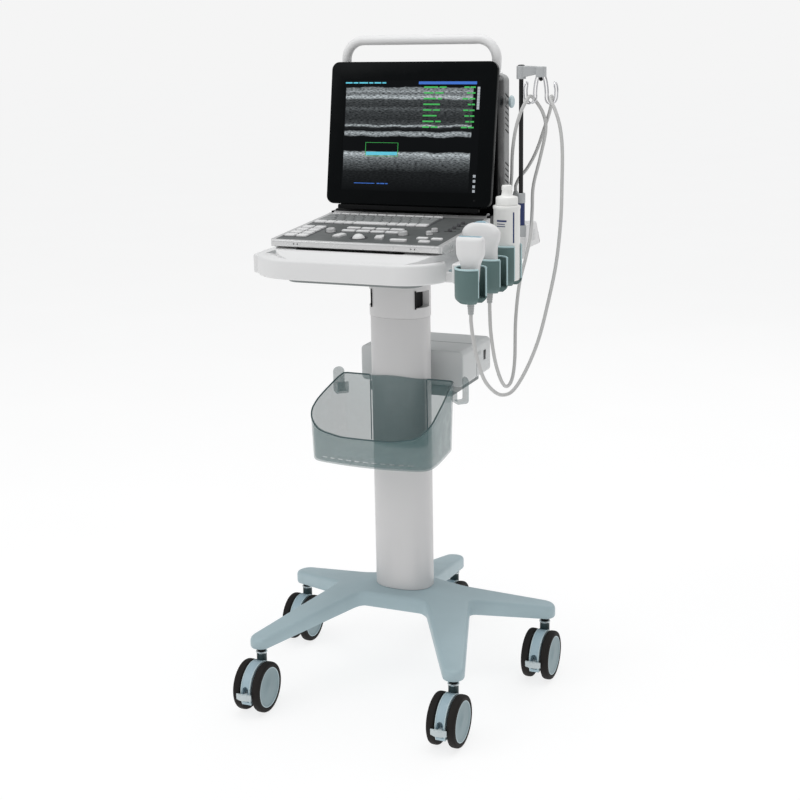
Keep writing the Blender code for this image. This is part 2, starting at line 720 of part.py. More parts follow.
def cable_hook(side):
    """Upright hook standing off a rear corner of the basket."""
    profile = [(-0.003, 0.624), (0.0270, 0.624), (0.0270, HOOK_TOP), (0.0230, HOOK_TOP),
               (0.0230, 0.629), (0.001, 0.629), (0.001, 0.650), (-0.003, 0.650)]
    body = slab(profile, "y", -0.011, 0.011, 0.0006)
    place = Matrix.Translation((side * 0.1275, BASKET_REAR - 0.0045, 0.0))
    return turn_and_move(body, place @ Matrix.Rotation(math.radians(90 - side * 45), 4, "Z"))


def make_basket():
    """Open basket with a rim rising to the rear, floor slots and two cable hooks."""
    body = basket_shell(0.0)
    rim = [(-0.25, 0.580), (-0.176, 0.580), (-0.165, 0.600), (-0.145, 0.620), (-0.112, 0.638),
           (-0.060, 0.656), (-0.030, 0.6665), (-0.008, BASKET_CREST), (0.10, BASKET_CREST),
           (0.10, 0.75), (-0.25, 0.75)]
    body = combine(body, [basket_shell(BASKET_WALL), slab(rim, "x", -0.2, 0.2)], "DIFFERENCE")
    body = combine(body, [cable_hook(-1), cable_hook(1)], "UNION")
    slots = []
    for row in range(3):
        for column in range(5):
            centre_x = -0.080 + 0.040 * column
            centre_y = -0.144 + 0.034 * row
            slots.append(block((centre_x - 0.011, centre_y - 0.003, BASKET_BOTTOM - 0.01),
                               (centre_x + 0.011, centre_y + 0.003, BASKET_BOTTOM + 0.01)))
    add_piece("basket", combine(body, [join(slots)], "DIFFERENCE"), "basket_teal")


# ------------------------------------------------------------------ power box
def make_power_box():
    """Supply box behind the column on its cradle, with a rocker on the right side."""
    body = block((-BOX_HALF, BOX_FRONT, BOX_BOTTOM), (BOX_HALF, BOX_REAR, BOX_TOP), 0.010, 0.002, "y")
    recess = block((BOX_HALF - 0.003, 0.192, 0.672), (BOX_HALF + 0.01, 0.206, 0.694))
    grille = []
    for index in range(9):
        level = 0.132 + index * 0.005
        grille.append(block((BOX_HALF - 0.002, level, 0.690), (BOX_HALF + 0.01, level + 0.0022, 0.698)))
    box = combine(body, [recess, join(grille)], "DIFFERENCE")
    add_piece("power_box", box, "box_grey")
    cradle = block((-0.096, COLUMN_CENTRE_Y + COLUMN_HALF_Y + GAP, 0.620),
                   (0.096, 0.225, BOX_BOTTOM - GAP), 0.006, 0.002)
    add_piece("power_box_cradle", cradle, "holder_teal")
    pivot = (BOX_HALF - 0.0022, 0.199, 0.683)
    rocker = [(pivot[0] - 0.0003, 0.6735), (pivot[0] + 0.0022, 0.6735), (pivot[0] + 0.0005, 0.683),
              (pivot[0] + 0.0036, 0.6915), (pivot[0] + 0.0017, 0.6925)]
    add_piece("power_switch", slab(hull(rocker), "y", 0.1927, 0.2053), "switch_black", pivot)


# ------------------------------------------------------------------ tray
def make_tray():
    """Tray: rounded front lip, raised dock, finger recess and rail along either side."""
    plate = block((-0.140, -0.238, PLATE_BOTTOM), (0.140, 0.150, TRAY_BOTTOM - GAP), 0.03, 0.0015)
    add_piece("tray_underplate", plate, "holder_teal")
    lip = slab(rounded_rect(-TRAY_HALF, TRAY_HALF, TRAY_FRONT, TRAY_REAR, (0.1, 0.1, 0.02, 0.02), 8),
               "z", TRAY_BOTTOM, TRAY_RIM, 0.004)
    dock_side = [(-0.258, 0.930), (TRAY_REAR, 0.930), (TRAY_REAR, DOCK_Z), (-0.214, DOCK_Z),
                 (-0.256, 0.950)]
    dock_plan = rounded_rect(-DOCK_HALF, DOCK_HALF, -0.2575, TRAY_REAR, (0.085, 0.085, 0.01, 0.01), 8)
    dock = combine(slab(dock_side, "x", -0.19, 0.19), [slab(dock_plan, "z", 0.925, 0.97)], "INTERSECT")
    rails = []
    wells = []
    for side in (-1, 1):
        ends = sorted((side * 0.198, side * RAIL_OUTER))
        rails.append(block((ends[0], -0.205, TRAY_BOTTOM), (ends[1], 0.150, 0.950), 0.006, 0.003))
        well = [(side * (DOCK_HALF + GAP), 0.946), (side * 0.184, 0.935), (side * 0.1995, 0.930),
                (side * 0.1995, 1.0), (side * (DOCK_HALF + GAP), 1.0)]
        wells.append(slab(hull(well), "y", -0.196, 0.140))
    body = combine(lip, [dock] + rails, "UNION")
    scoops = []
    for cup_y in (LINEAR_CUP_Y, CONVEX_CUP_Y, BOTTLE_CUP_Y):
        scoops.append(rod((CUP_X, cup_y, 0.0), CUP_RADIUS + GAP + 0.0004, 0.86, 1.0, steps=32))
    scoops.append(rod((POLE_X, POLE_Y, 0.0), SOCKET_RADIUS + GAP + 0.0003, 0.86, 1.0, steps=20))
    add_piece("tray", combine(body, wells + scoops, "DIFFERENCE"), "tray_white")


# ------------------------------------------------------------------ cups
def cup_body(centre_y, rim):
    """Open holder with a slot facing outwards and a rounded bottom round a hole."""
    steps = 18
    start, end = CUP_SLOT_HALF, 360 - CUP_SLOT_HALF
    inner = CUP_RADIUS - CUP_WALL
    levels = ((CUP_BOTTOM, 0.021, CUP_HOLE), (CUP_BOTTOM + 0.003, 0.027, CUP_HOLE),
              (CUP_BOTTOM + 0.008, CUP_RADIUS, CUP_HOLE), (CUP_BOTTOM + 0.0085, CUP_RADIUS, inner),
              (rim - 0.001, CUP_RADIUS, inner), (rim, CUP_RADIUS - 0.001, inner + 0.001))
    rings = []
    for level, outer_radius, inner_radius in levels:
        ring = arc(CUP_X, centre_y, outer_radius, start, end, steps)
        ring += arc(CUP_X, centre_y, inner_radius, end, start, steps)
        rings.append([(a, b, level) for a, b in ring])
    return loft(rings)


def make_cups():
    """Two probe cups and the gel bottle's cup along the right rail."""
    places = (("probe_cup_front", LINEAR_CUP_Y, TRAY_RIM), ("probe_cup_rear", CONVEX_CUP_Y, TRAY_RIM),
              ("bottle_cup", BOTTLE_CUP_Y, BOTTLE_CUP_RIM))
    for name, centre_y, rim in places:
        add_piece(name, cup_body(centre_y, rim), "holder_teal", (CUP_X, centre_y, CUP_BOTTOM))


# ------------------------------------------------------------------ keyboard
def deck_matrix():
    """Transform from the sloping deck's own axes to the machine's."""
    return Matrix.Translation((0.0, DECK_ORIGIN_Y, DECK_ORIGIN_Z)) @ Matrix.Rotation(DECK_SLOPE, 4, "X")


def on_deck(body):
    """A body drawn on the deck put in place."""
    return turn_and_move(body, deck_matrix())


def deck_point(place, height=0.0):
    """Machine position of a point on the deck."""
    return tuple(deck_matrix() @ Vector((place[0], place[1], height)))


def arch_outline(place, inner, outer, middle, spread, steps=6):
    """Curved key that wraps round a centre on one side."""
    points = arc(place[0], place[1], outer, middle - spread, middle + spread, steps)
    points += arc(place[0], place[1], inner, middle + spread, middle - spread, steps)
    return points


def key_outlines():
    """Outlines of the fixed keys on the deck."""
    outlines = []
    for index in range(12):
        left = -0.166 + index * 0.021
        outlines.append((left, left + 0.021 - KEY_GAP, -0.040, -0.033))
    for row in range(4):
        columns = 12
        pitch = 0.252 / columns
        for index in range(columns):
            left = -0.166 + index * pitch
            near = -0.128 + row * 0.021
            outlines.append((left, left + pitch - KEY_GAP, near, near + 0.021 - KEY_GAP))
    for row in range(4):
        for column in range(2):
            left = -0.166 + column * 0.026
            near = -0.262 + row * 0.026
            outlines.append((left, left + 0.022, near, near + 0.020))
    for row in range(2):
        for index in range(4):
            left = -0.070 + index * 0.0315
            near = -0.200 + row * 0.026
            outlines.append((left, left + 0.028, near, near + 0.012))
    for left, near in ((0.108, -0.240), (0.139, -0.242), (0.123, -0.268)):
        outlines.append((left, left + 0.022, near, near + 0.012))
    return outlines


def moving_key_outlines():
    """Outlines of the keys that travel by themselves."""
    return {
        "set_key_left": arch_outline(BALL_PLACE, 0.040, 0.056, 166, 15),
        "set_key_right": arch_outline(BALL_PLACE, 0.034, 0.050, 14, 16),
        "freeze_key": rounded_rect(FREEZE_PLACE[0] - 0.019, FREEZE_PLACE[0] + 0.014,
                                   FREEZE_PLACE[1] - 0.006, FREEZE_PLACE[1] + 0.006, (0.003,) * 4),
    }


def slider_place(index):
    """Deck place of one gain slider."""
    return SLIDER_X, SLIDER_FIRST + SLIDER_PITCH * index


def make_keyboard_case():
    """Wedge-shaped keyboard case with the hinge barrel along its rear edge."""
    side = [(-0.190, KEYBOARD_BOTTOM), (0.066, KEYBOARD_BOTTOM), (0.0735, KEYBOARD_BOTTOM + 0.004)]
    side += arc(HINGE_Y, HINGE_Z, BARREL_RADIUS, -75, 120, 9)
    side += [(0.0585, 1.0003), (-0.2092, 0.9822), (-0.2119, 0.9810), (KEYBOARD_FRONT, 0.9785),
             (KEYBOARD_FRONT, 0.9705), (-0.2110, 0.9685), (-0.194, 0.9685)]
    body = slab(side, "x", -KEYBOARD_HALF, KEYBOARD_HALF, 0.0015)
    plan = rounded_rect(-KEYBOARD_HALF, KEYBOARD_HALF, KEYBOARD_FRONT, 0.12, (0.01, 0.01, 0.002, 0.002))
    body = combine(body, [slab(plan, "z", 0.9, 1.1)], "INTERSECT")
    recess = on_deck(block((-DECK_HALF, DECK_NEAR, -DECK_DEPTH), (DECK_HALF, DECK_FAR, 0.01), 0.004))
    well = on_deck(rod((BALL_PLACE[0], BALL_PLACE[1], 0.0), BALL_RADIUS + 0.0008,
                       -BALL_SINK - BALL_RADIUS - 0.0004, 0.01, steps=24))
    shoulders = []
    for end in (-1, 1):
        ends = sorted((end * 0.1715, end * 0.2))
        shoulders.append(block((ends[0], 0.0600, 0.96), (ends[1], 0.10, 1.02)))
    body = combine(body, [recess, well] + shoulders, "DIFFERENCE")
    add_piece("keyboard_case", body, "silver_case", (0.0, HINGE_Y, HINGE_Z))


def make_key_block():
    """Deck plate with its fixed keys, open round every control that moves."""
    margin = GAP * 2
    plate = block((-DECK_HALF + margin, DECK_NEAR + margin, -DECK_DEPTH + GAP),
                  (DECK_HALF - margin, DECK_FAR - margin, 0.0), 0.004)
    keys = []
    for low_a, high_a, low_b, high_b in key_outlines():
        foot = [(low_a, low_b, -0.0008), (high_a, low_b, -0.0008), (high_a, high_b, -0.0008),
                (low_a, high_b, -0.0008)]
        draft = 0.0008
        top = [(low_a + draft, low_b + draft, KEY_RISE), (high_a - draft, low_b + draft, KEY_RISE),
               (high_a - draft, high_b - draft, KEY_RISE), (low_a + draft, high_b - draft, KEY_RISE)]
        keys.append(loft([foot, top]))
    body = combine(plate, [join(keys)], "UNION")
    openings = [rod((BALL_PLACE[0], BALL_PLACE[1], 0.0), BALL_RADIUS + 0.0008, -0.01, 0.01, steps=24)]
    for outline in moving_key_outlines().values():
        openings.append(slab(inset(outline, -0.0006), "z", -0.01, 0.01))
    body = combine(body, [join(openings)], "DIFFERENCE")
    add_piece("key_block", on_deck(body), "key_white", deck_point((0.0, 0.0)))


def make_moving_controls():
    """Trackball, travelling keys, rotary knobs and gain sliders."""
    ball = []
    steps = 10
    for index in range(steps + 1):
        angle = math.pi * index / steps - math.pi / 2
        radius = BALL_RADIUS * math.cos(angle) if 0 < index < steps else 0.0
        ball.append((radius, BALL_RADIUS * math.sin(angle) - BALL_SINK))
    body = on_deck(turned(ball, (BALL_PLACE[0], BALL_PLACE[1], 0.0), steps=20))
    add_piece("trackball", body, "key_white", deck_point(BALL_PLACE, -BALL_SINK))
    for name, outline in moving_key_outlines().items():
        centre = (sum(a for a, _ in outline) / len(outline), sum(b for _, b in outline) / len(outline))
        body = on_deck(slab(outline, "z", 0.0, KEY_RISE + 0.0008, 0.0006))
        add_piece(name, body, "key_white", deck_point(centre))
    dials = [("encoder_" + label, place, 0.0095, 0.0078) for label, place in ENCODERS.items()]
    dials += [("knob_" + label, place, 0.0068, 0.0074) for label, place in KNOBS.items()]
    for name, place, radius, height in dials:
        profile = ((0.0, GAP), (radius, GAP), (radius, height - 0.0015), (radius - 0.0015, height),
                   (radius * 0.35, height), (radius * 0.3, height - 0.001), (0.0, height - 0.001))
        body = on_deck(turned(profile, (place[0], place[1], 0.0), steps=18))
        add_piece(name, body, "control_grey", deck_point(place))
    for index in range(SLIDER_COUNT):
        place = slider_place(index)
        body = block((place[0] - 0.003, place[1] - 0.0045, GAP), (place[0] + 0.003, place[1] + 0.0045, 0.005),
                     0.001, 0.0006)
        add_piece("gain_slider_%d" % (index + 1), on_deck(body), "control_grey", deck_point(place))


# ------------------------------------------------------------------ display
def lcd_matrix():
    """Transform from the display's own axes (up, towards the viewer) to the machine's."""
    up = (0.0, math.sin(LCD_TILT), math.cos(LCD_TILT))
    towards = (0.0, -math.cos(LCD_TILT), math.sin(LCD_TILT))
    columns = Matrix(((1.0, 0.0, 0.0), up, towards)).transposed().to_4x4()
    return Matrix.Translation((0.0, LCD_FRONT_Y, LCD_BOTTOM_Z)) @ columns


def make_display():
    """Display shell with its inset panel; both swing about the shell's upper rear line."""
    drop = LCD_DEPTH * math.sin(LCD_TILT)
    hinge_height = (UNIT_TOP - LCD_BOTTOM_Z + drop) / math.cos(LCD_TILT)
    hinge = tuple(lcd_matrix() @ Vector((0.0, hinge_height, -LCD_DEPTH)))
    outline = rounded_rect(-LCD_HALF, LCD_HALF, 0.0, LCD_HEIGHT, (0.012,) * 4)
    shell = slab(outline, "z", -LCD_DEPTH, 0.0, 0.002)
    window = block((-PANEL_HALF - GAP, PANEL_LOW - GAP, -0.0015), (PANEL_HALF + GAP, PANEL_HIGH + GAP, 0.01))
    shell = combine(shell, [window], "DIFFERENCE")
    add_piece("lcd_shell", turn_and_move(shell, lcd_matrix()), "gloss_black", hinge)
    panel = block((-PANEL_HALF, PANEL_LOW, -0.0012), (PANEL_HALF, PANEL_HIGH, -0.0003))
    add_piece("lcd_panel", turn_and_move(panel, lcd_matrix()), "screen_glass", hinge)


# ------------------------------------------------------------------ main unit
def vent_slots(side):
    """Diagonal slots in one side wall of the rear shell."""
    slots = []
    for first, count in ((1.172, 6), (1.070, 3)):
        for index in range(count):
            ends = sorted((side * (UNIT_HALF - 0.0025), side * (UNIT_HALF + 0.01)))
            slot = block((ends[0], -0.012, -0.0013), (ends[1], 0.012, 0.0013))
            lean = 35 if index % 2 else -35
            place = Matrix.Translation((0.0, 0.169, first + index * 0.012))
            slots.append(turn_and_move(slot, place @ Matrix.Rotation(math.radians(lean * 0.4), 4, "X")))
    return slots


def make_unit():
    """Main unit in two shells, front and rear, with slots in both side walls."""
    outline = rounded_rect(-UNIT_HALF, UNIT_HALF, DOCK_Z + GAP, UNIT_TOP, (0.004, 0.004, 0.014, 0.014))
    front = slab(outline, "y", UNIT_FRONT, UNIT_SEAM - GAP, 0.002)
    shelf = block((-0.170, 0.0965, DOCK_Z + 2 * GAP), (0.170, UNIT_FRONT + 0.006, 0.974))
    cheeks = []
    for side in (-1, 1):
        ends = sorted((side * 0.1719, side * 0.1799))
        low, high = (ends[0], 0.0668, DOCK_Z + 2 * GAP), (ends[1], UNIT_FRONT + 0.006, 1.004)
        cheeks.append(block(low, high, 0.0, 0.0006, "x"))
    front = combine(front, [shelf] + cheeks, "UNION")
    add_piece("unit_front_shell", front, "gloss_black")
    rear = slab(outline, "y", UNIT_SEAM, UNIT_REAR, 0.004)
    add_piece("unit_rear_shell", combine(rear, vent_slots(1) + vent_slots(-1), "DIFFERENCE"), "unit_grey")


def make_handle():
    """Carrying handle: round bar bent down to both top corners of the unit."""
    foot = UNIT_TOP + GAP
    path = [(-HANDLE_HALF, foot), (-HANDLE_HALF, foot + 0.012)]
    path += arc(-HANDLE_HALF + HANDLE_BEND, HANDLE_TOP - HANDLE_BEND, HANDLE_BEND, 180, 90, 6)
    path += arc(HANDLE_HALF - HANDLE_BEND, HANDLE_TOP - HANDLE_BEND, HANDLE_BEND, 90, 0, 6)
    path += [(HANDLE_HALF, foot + 0.012), (HANDLE_HALF, foot)]
    points = [(a, HANDLE_Y, b) for a, b in path]
    radii = [0.0075, 0.0085] + [HANDLE_RADIUS] * (len(points) - 4) + [0.0085, 0.0075]
    add_piece("carry_handle", swept(points, radii, 12), "silver_case")


def make_peg():
    """Cord peg: short shaft with a round flange on the unit's right wall."""
    start = UNIT_HALF + GAP
    profile = ((0.0, start), (0.006, start), (0.006, start + 0.008), (0.0115, start + 0.008),
               (0.0125, start + 0.0095), (0.0125, start + 0.013), (0.011, start + 0.0145),
               (0.0, start + 0.0145))
    add_piece("cable_peg", turned(profile, (0.0, PEG_Y, PEG_Z), "x", 20), "unit_grey")


def make_rear_module():
    """Rear module across the back of the tray, its rear wall leaning forwards."""
    side = [(0.192, 0.919), (0.290, 0.919), (0.286, 0.930), (0.266, 0.966), (0.260, 0.971),
            (0.197, 0.971), (0.192, 0.966)]
    add_piece("rear_module", slab(side, "x", -0.215, 0.215, 0.003), "tray_white")


# ------------------------------------------------------------------ pole
def make_pole():
    """Hook pole: sleeved socket at the rail, rod, arm and the double wire hook."""
    centre = (POLE_X, POLE_Y, 0.0)
    socket = ((0.0, 0.915), (SOCKET_RADIUS, 0.915), (SOCKET_RADIUS, 0.960), (0.0105, 0.961),
              (0.0105, 0.9830), (0.0078, 0.9835), (0.0078, 1.0285), (0.0088, 1.0290),
              (0.0088, 1.0490), (BORE_RADIUS, 1.0490), (BORE_RADIUS, 0.9297), (0.0, 0.9297))
    add_piece("pole_socket", turned(socket, centre, steps=20), "tray_white", (POLE_X, POLE_Y, 0.915))
    top = 1.2915
    bar = ((0.0, 0.930), (ROD_RADIUS, 0.930), (ROD_RADIUS, top), (0.0, top))
    add_piece("hook_pole", turned(bar, centre, steps=16), "rod_black")
    plan = hull(circle(POLE_X, POLE_Y, 0.009, 16) + circle(0.2588, 0.102, 0.0075, 16))
    arm = slab(plan, "z", ARM_BOTTOM, ARM_TOP, 0.0015)
    arm = combine(arm, [rod(centre, BORE_RADIUS, 1.27, top + GAP, steps=20)], "DIFFERENCE")
    add_piece("pole_arm", arm, "clamp_grey")
    knuckle = block((0.267, HOOK_Y - 0.012, 1.279), (0.283, HOOK_Y + 0.012, 1.301), 0.003, 0.0015)
    loops = [hook_loop(side) for side in (-1, 1)]
    add_piece("wire_hook", combine(knuckle, loops, "UNION"), "chrome_wire")


def hook_loop(side):
    """One side of the double hook: two bent wires joined round the tip."""
    half = ((0.0060, 1.284), (0.0100, 1.268), (0.0120, 1.250), (0.0122, 1.2375), (0.0155, 1.2310),
            (0.0215, 1.2285), (0.0275, 1.2310), (0.0312, 1.2390), (0.0318, 1.2540), (0.0305, 1.2640))
    front = [(HOOK_X + side * reach, HOOK_Y - HOOK_SPREAD, level) for reach, level in half]
    middle = [(HOOK_X + side * 0.0295, HOOK_Y - HOOK_SPREAD * 0.6, 1.2690),
              (HOOK_X + side * 0.0290, HOOK_Y, 1.2705),
              (HOOK_X + side * 0.0295, HOOK_Y + HOOK_SPREAD * 0.6, 1.2690)]
    back = [(a, 2 * HOOK_Y - b, level) for a, b, level in front[::-1]]
    path = front + middle + back
    return swept(path, [WIRE_RADIUS] * len(path), 6)


# ------------------------------------------------------------------ probes and bottle
def tapered(sections, steps=20):
    """Body through oval sections given as centre x, centre y, height, half x, half y."""
    rings = []
    for centre_x, centre_y, level, half_x, half_y, power in sections:
        rings.append([(a, b, level) for a, b in oval(centre_x, centre_y, half_x, half_y, power, steps)])
    return loft(rings)


def make_probes():
    """Linear and convex probes standing head up in their cups."""
    x, y, low = LINEAR_EXIT
    linear = ((x, y, low + GAP, 0.0045, 0.0045, 2), (x, y, 0.886, 0.0058, 0.0058, 2),
              (x, y, 0.8945, 0.0075, 0.0075, 2), (x, y, 0.8965, 0.0125, 0.0105, 2.2),
              (x, y, 0.930, 0.0165, 0.0120, 2.4), (x, y, 0.955, 0.0185, 0.0120, 2.6),
              (x, y, 0.972, 0.0255, 0.0125, 3.2), (x, y, 0.980, 0.0270, 0.0125, 3.6),
              (x, y, 1.000, 0.0270, 0.0120, 4.0), (x, y, 1.0055, 0.0250, 0.0085, 4.0),
              (x, y, 1.008, 0.0235, 0.0050, 4.0))
    add_piece("linear_probe", tapered(linear), "tray_white", LINEAR_EXIT)
    x, y, low = CONVEX_EXIT
    convex = ((x, y, low + GAP, 0.0045, 0.0045, 2), (x, y, 0.886, 0.0055, 0.0055, 2),
              (x + 0.001, y, 0.8945, 0.0075, 0.0075, 2), (x + 0.001, y, 0.8965, 0.0125, 0.0110, 2.2),
              (x + 0.001, y, 0.930, 0.0150, 0.0125, 2.4), (x, y, 0.948, 0.0160, 0.0130, 2.4),
              (x - 0.0025, y, 0.956, 0.0180, 0.0130, 2.6),
              (x - 0.0100, y, 0.972, 0.0260, 0.0140, 2.8), (x - 0.0155, y, 0.988, 0.0360, 0.0145, 3.2),
              (x - 0.0165, y, 0.998, 0.0375, 0.0140, 3.2), (x - 0.0170, y, 1.008, 0.0340, 0.0115, 2.8),
              (x - 0.0175, y, 1.015, 0.0240, 0.0080, 2.4), (x - 0.0175, y, 1.0185, 0.0120, 0.0045, 2.2))
    add_piece("convex_probe", tapered(convex), "tray_white", CONVEX_EXIT)


def make_bottle():
    """Gel bottle in its cup, with a screwed cap."""
    base = CUP_BOTTOM + 0.0085 + GAP
    centre = (CUP_X, BOTTLE_CUP_Y, 0.0)
    bottle = ((0.0, base), (0.0235, base), (0.0255, base + 0.003), (0.0260, base + 0.010),
              (0.0260, 1.034), (0.0265, 1.036), (0.0265, 1.0415), (0.0250, BOTTLE_TOP), (0.0, BOTTLE_TOP))
    add_piece("gel_bottle", turned(bottle, centre, steps=24), "gel_bottle_white",
              (CUP_X, BOTTLE_CUP_Y, base))
    low = BOTTLE_TOP + GAP
    cap = ((0.0, low), (0.0217, low), (0.0214, low + 0.0155), (0.0115, low + 0.0175),
           (0.0095, low + 0.0285), (0.0100, low + 0.0375), (0.0, low + 0.0380))
    add_piece("bottle_cap", turned(cap, centre, steps=18), "cap_white", (CUP_X, BOTTLE_CUP_Y, low))


# ------------------------------------------------------------------ plugs and cords
def plug_body(exit_point, half_y):
    """Angled probe plug: flat body on the unit's wall, strain relief pointing up."""
    x, y, top = exit_point
    body = block((UNIT_HALF + GAP, y - half_y, top - 0.026), (x + 0.009, y + half_y, top - 0.010), 0.003, 0.0015)
    relief = ((0.0, top - 0.014), (0.0062, top - 0.014), (0.0045, top - GAP), (0.0, top - GAP))
    return combine(body, [turned(relief, (x, y, 0.0), steps=14)], "UNION")


def make_plugs():
    """The two probe plugs side by side on the unit's right wall."""
    for name, place in (("linear_plug", LINEAR_PLUG_EXIT), ("convex_plug", CONVEX_PLUG_EXIT)):
        add_piece(name, plug_body(place, 0.0115), "unit_grey", place)


def make_cord(name, start, route, end):
    """Probe cord: round tube along the smooth curve through its route."""
    first = (start[0], start[1], start[2] - CORD_LEAD)
    last = (end[0], end[1], end[2] + CORD_LEAD)
    points = [Vector(start)] + smooth_path((first,) + route + (last,), CORD_POINTS) + [Vector(end)]
    curve = bpy.data.curves.new(name, "CURVE")
    curve.dimensions = "3D"
    curve.bevel_depth = CORD_RADIUS
    curve.bevel_resolution = 2
    curve.use_fill_caps = True
    spline = curve.splines.new("POLY")
    spline.points.add(len(points) - 1)
    for target, point in zip(spline.points, points):
        target.co = (point.x - start[0], point.y - start[1], point.z - start[2], 1.0)
    curve.materials.append(MATERIALS["cord_grey"])
    add_mesh_object(name, curve, start)


def clear_scene():
    """Remove whatever objects the file starts with."""
    for existing in list(bpy.data.objects):
        bpy.data.objects.remove(existing, do_unlink=True)


clear_scene()
MATERIALS = {finish: make_material(finish) for finish in FINISHES}
make_base()
make_casters()
make_column()
make_basket()
make_power_box()
make_tray()
make_cups()
make_keyboard_case()
make_key_block()
make_moving_controls()
make_display()
make_unit()
make_handle()
make_peg()
make_rear_module()
make_pole()
make_probes()
make_bottle()
make_plugs()
make_cord("linear_cord", LINEAR_EXIT, LINEAR_ROUTE, LINEAR_PLUG_EXIT)
make_cord("convex_cord", CONVEX_EXIT, CONVEX_ROUTE, CONVEX_PLUG_EXIT)
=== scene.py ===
"""Looks of the cart-mounted ultrasound machine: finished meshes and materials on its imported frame."""
import math

import bmesh
import bpy
from mathutils import Matrix, Vector, geometry


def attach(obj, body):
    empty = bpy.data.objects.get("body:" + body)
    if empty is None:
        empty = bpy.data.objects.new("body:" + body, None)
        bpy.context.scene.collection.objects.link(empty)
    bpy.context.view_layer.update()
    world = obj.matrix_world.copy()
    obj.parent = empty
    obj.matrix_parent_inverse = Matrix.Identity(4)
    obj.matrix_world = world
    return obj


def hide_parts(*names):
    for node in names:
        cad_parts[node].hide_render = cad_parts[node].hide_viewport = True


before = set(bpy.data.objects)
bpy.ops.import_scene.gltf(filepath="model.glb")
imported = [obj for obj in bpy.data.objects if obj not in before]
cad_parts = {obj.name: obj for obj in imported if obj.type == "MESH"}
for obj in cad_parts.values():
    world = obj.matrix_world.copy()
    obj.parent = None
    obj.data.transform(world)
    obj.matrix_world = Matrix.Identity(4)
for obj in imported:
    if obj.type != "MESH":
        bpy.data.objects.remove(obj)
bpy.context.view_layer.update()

# ------------------------------------------------------------------ general
SHIFT_Y = 0.00494               # the machine's own frame sits this far along y in the row frame
GAP = 0.0003
TINY = 1e-6
SHARP_ANGLE = math.radians(38.0)
CORNER_STEPS = 8
EDGE_STEPS = 4
TURNED_STEPS = 20
ORIGIN = (0.0, 0.0, 0.0)
OUTLINE_PLANES = {"x": (1, 2, 0), "y": (0, 2, 1), "z": (0, 1, 2)}    # outline's two axes and its normal

# ------------------------------------------------------------------ base and casters
LEG_ANGLES = {"right": 20.0, "back": 90.0, "left": 160.0, "front_left": -130.0, "front_right": -50.0}
STEM_DISTANCES = {"right": 0.308, "back": 0.308, "left": 0.308, "front_left": 0.335, "front_right": 0.335}
LEG_TIP_HALF = 0.0225           # radius of the rounded tip round the stem
LEG_TIP_TURN = 84               # degrees of the tip's arc to either side of the heading
LEG_HEADINGS = {"right": 25.0, "back": 90.0, "left": 155.0, "front_left": -114.0, "front_right": -66.0}
LEG_SPAN = 0.200                # length of a leg from its stem to its root
LEG_ROOT_HALF = 0.043           # half width of a leg at its root
HUB_WALLS = {("front_left", "front_right"): -0.062, ("right", "back"): 0.068, ("back", "left"): 0.068}
CROTCH_SOFTNESS = 0.018         # length that a soft corner takes off either side line
HUB_TOP = 0.2047
HUB_BOTTOM = 0.167
HUB_RADIUS = 0.090
PAD_RADIUS = 0.040              # flat round pad under the hub
FLOOR_SLOPE = 0.187             # drop of the legs' underside per metre outwards
LEG_SLOPE = 0.179               # drop of the leg's top per metre from the hub
LEG_CROWN_Z = 0.2166            # height of the leg's top line carried to the hub axis
LEG_BOTTOM = 0.131              # lowest height of the legs' underside
STEM_RADIUS = 0.0068
STEM_TOP = 0.1465
WHEEL_RADIUS = 0.053
WHEEL_OUTER = 0.0305            # half width over both tyres
CASTER_TRAIL = 0.025
AXLE_RADIUS = 0.004
WHEEL_STEPS = 64
STEM_STEPS = 40
HOOD_HALF = 0.0105              # half width of the hood between the tyres
HOOD_RADIUS = 0.0522
HOOD_START = 38.0               # rear end of the hood's rim seen from the axle
HOOD_END = 207.0                # low front end of the rim
WEB_RADIUS = 0.036              # inner radius of the hood's web
TUBE_RADIUS = 0.0105
TUBE_TOP = 0.1175
PEDAL_ANGLE = 183.0             # direction of the pedal arm seen from the axle

# ------------------------------------------------------------------ column
COLUMN_CENTRE_Y = 0.011
COLUMN_HALF_X = 0.0635
COLUMN_HALF_Y = 0.045
COLUMN_POWER = 2.35
SEAM_Z = 0.800
COLUMN_TOP = 0.9032

# ------------------------------------------------------------------ tray
PLATE_BOTTOM = 0.9035
TRAY_BOTTOM = 0.912
TRAY_RIM = 0.952
DOCK_Z = 0.9642
TRAY_FRONT = -0.264
TRAY_REAR = 0.1915
DOCK_HALF = 0.178
RAIL_OUTER = 0.225
CUP_X = 0.25
CUP_RADIUS = 0.030
CUP_WALL = 0.003
CUP_SLOT_HALF = 27.0            # half angle of the outward slot
CUP_SLOT_TURN = -14.0           # the slots look a little to the front
CUP_BOTTOM = 0.885
CUP_HOLE = 0.012
CUP_FLOOR = CUP_BOTTOM + 0.0085
CUP_TUCK = 0.0095               # how far a cup's foot is drawn in
CUP_TUCK_HEIGHT = 0.012
CUP_STEPS = 56
LINEAR_CUP_Y = -0.2385
CONVEX_CUP_Y = -0.120
BOTTLE_CUP_Y = -0.035
BOTTLE_CUP_RIM = 0.965
BOTTLE_TOP = 1.042

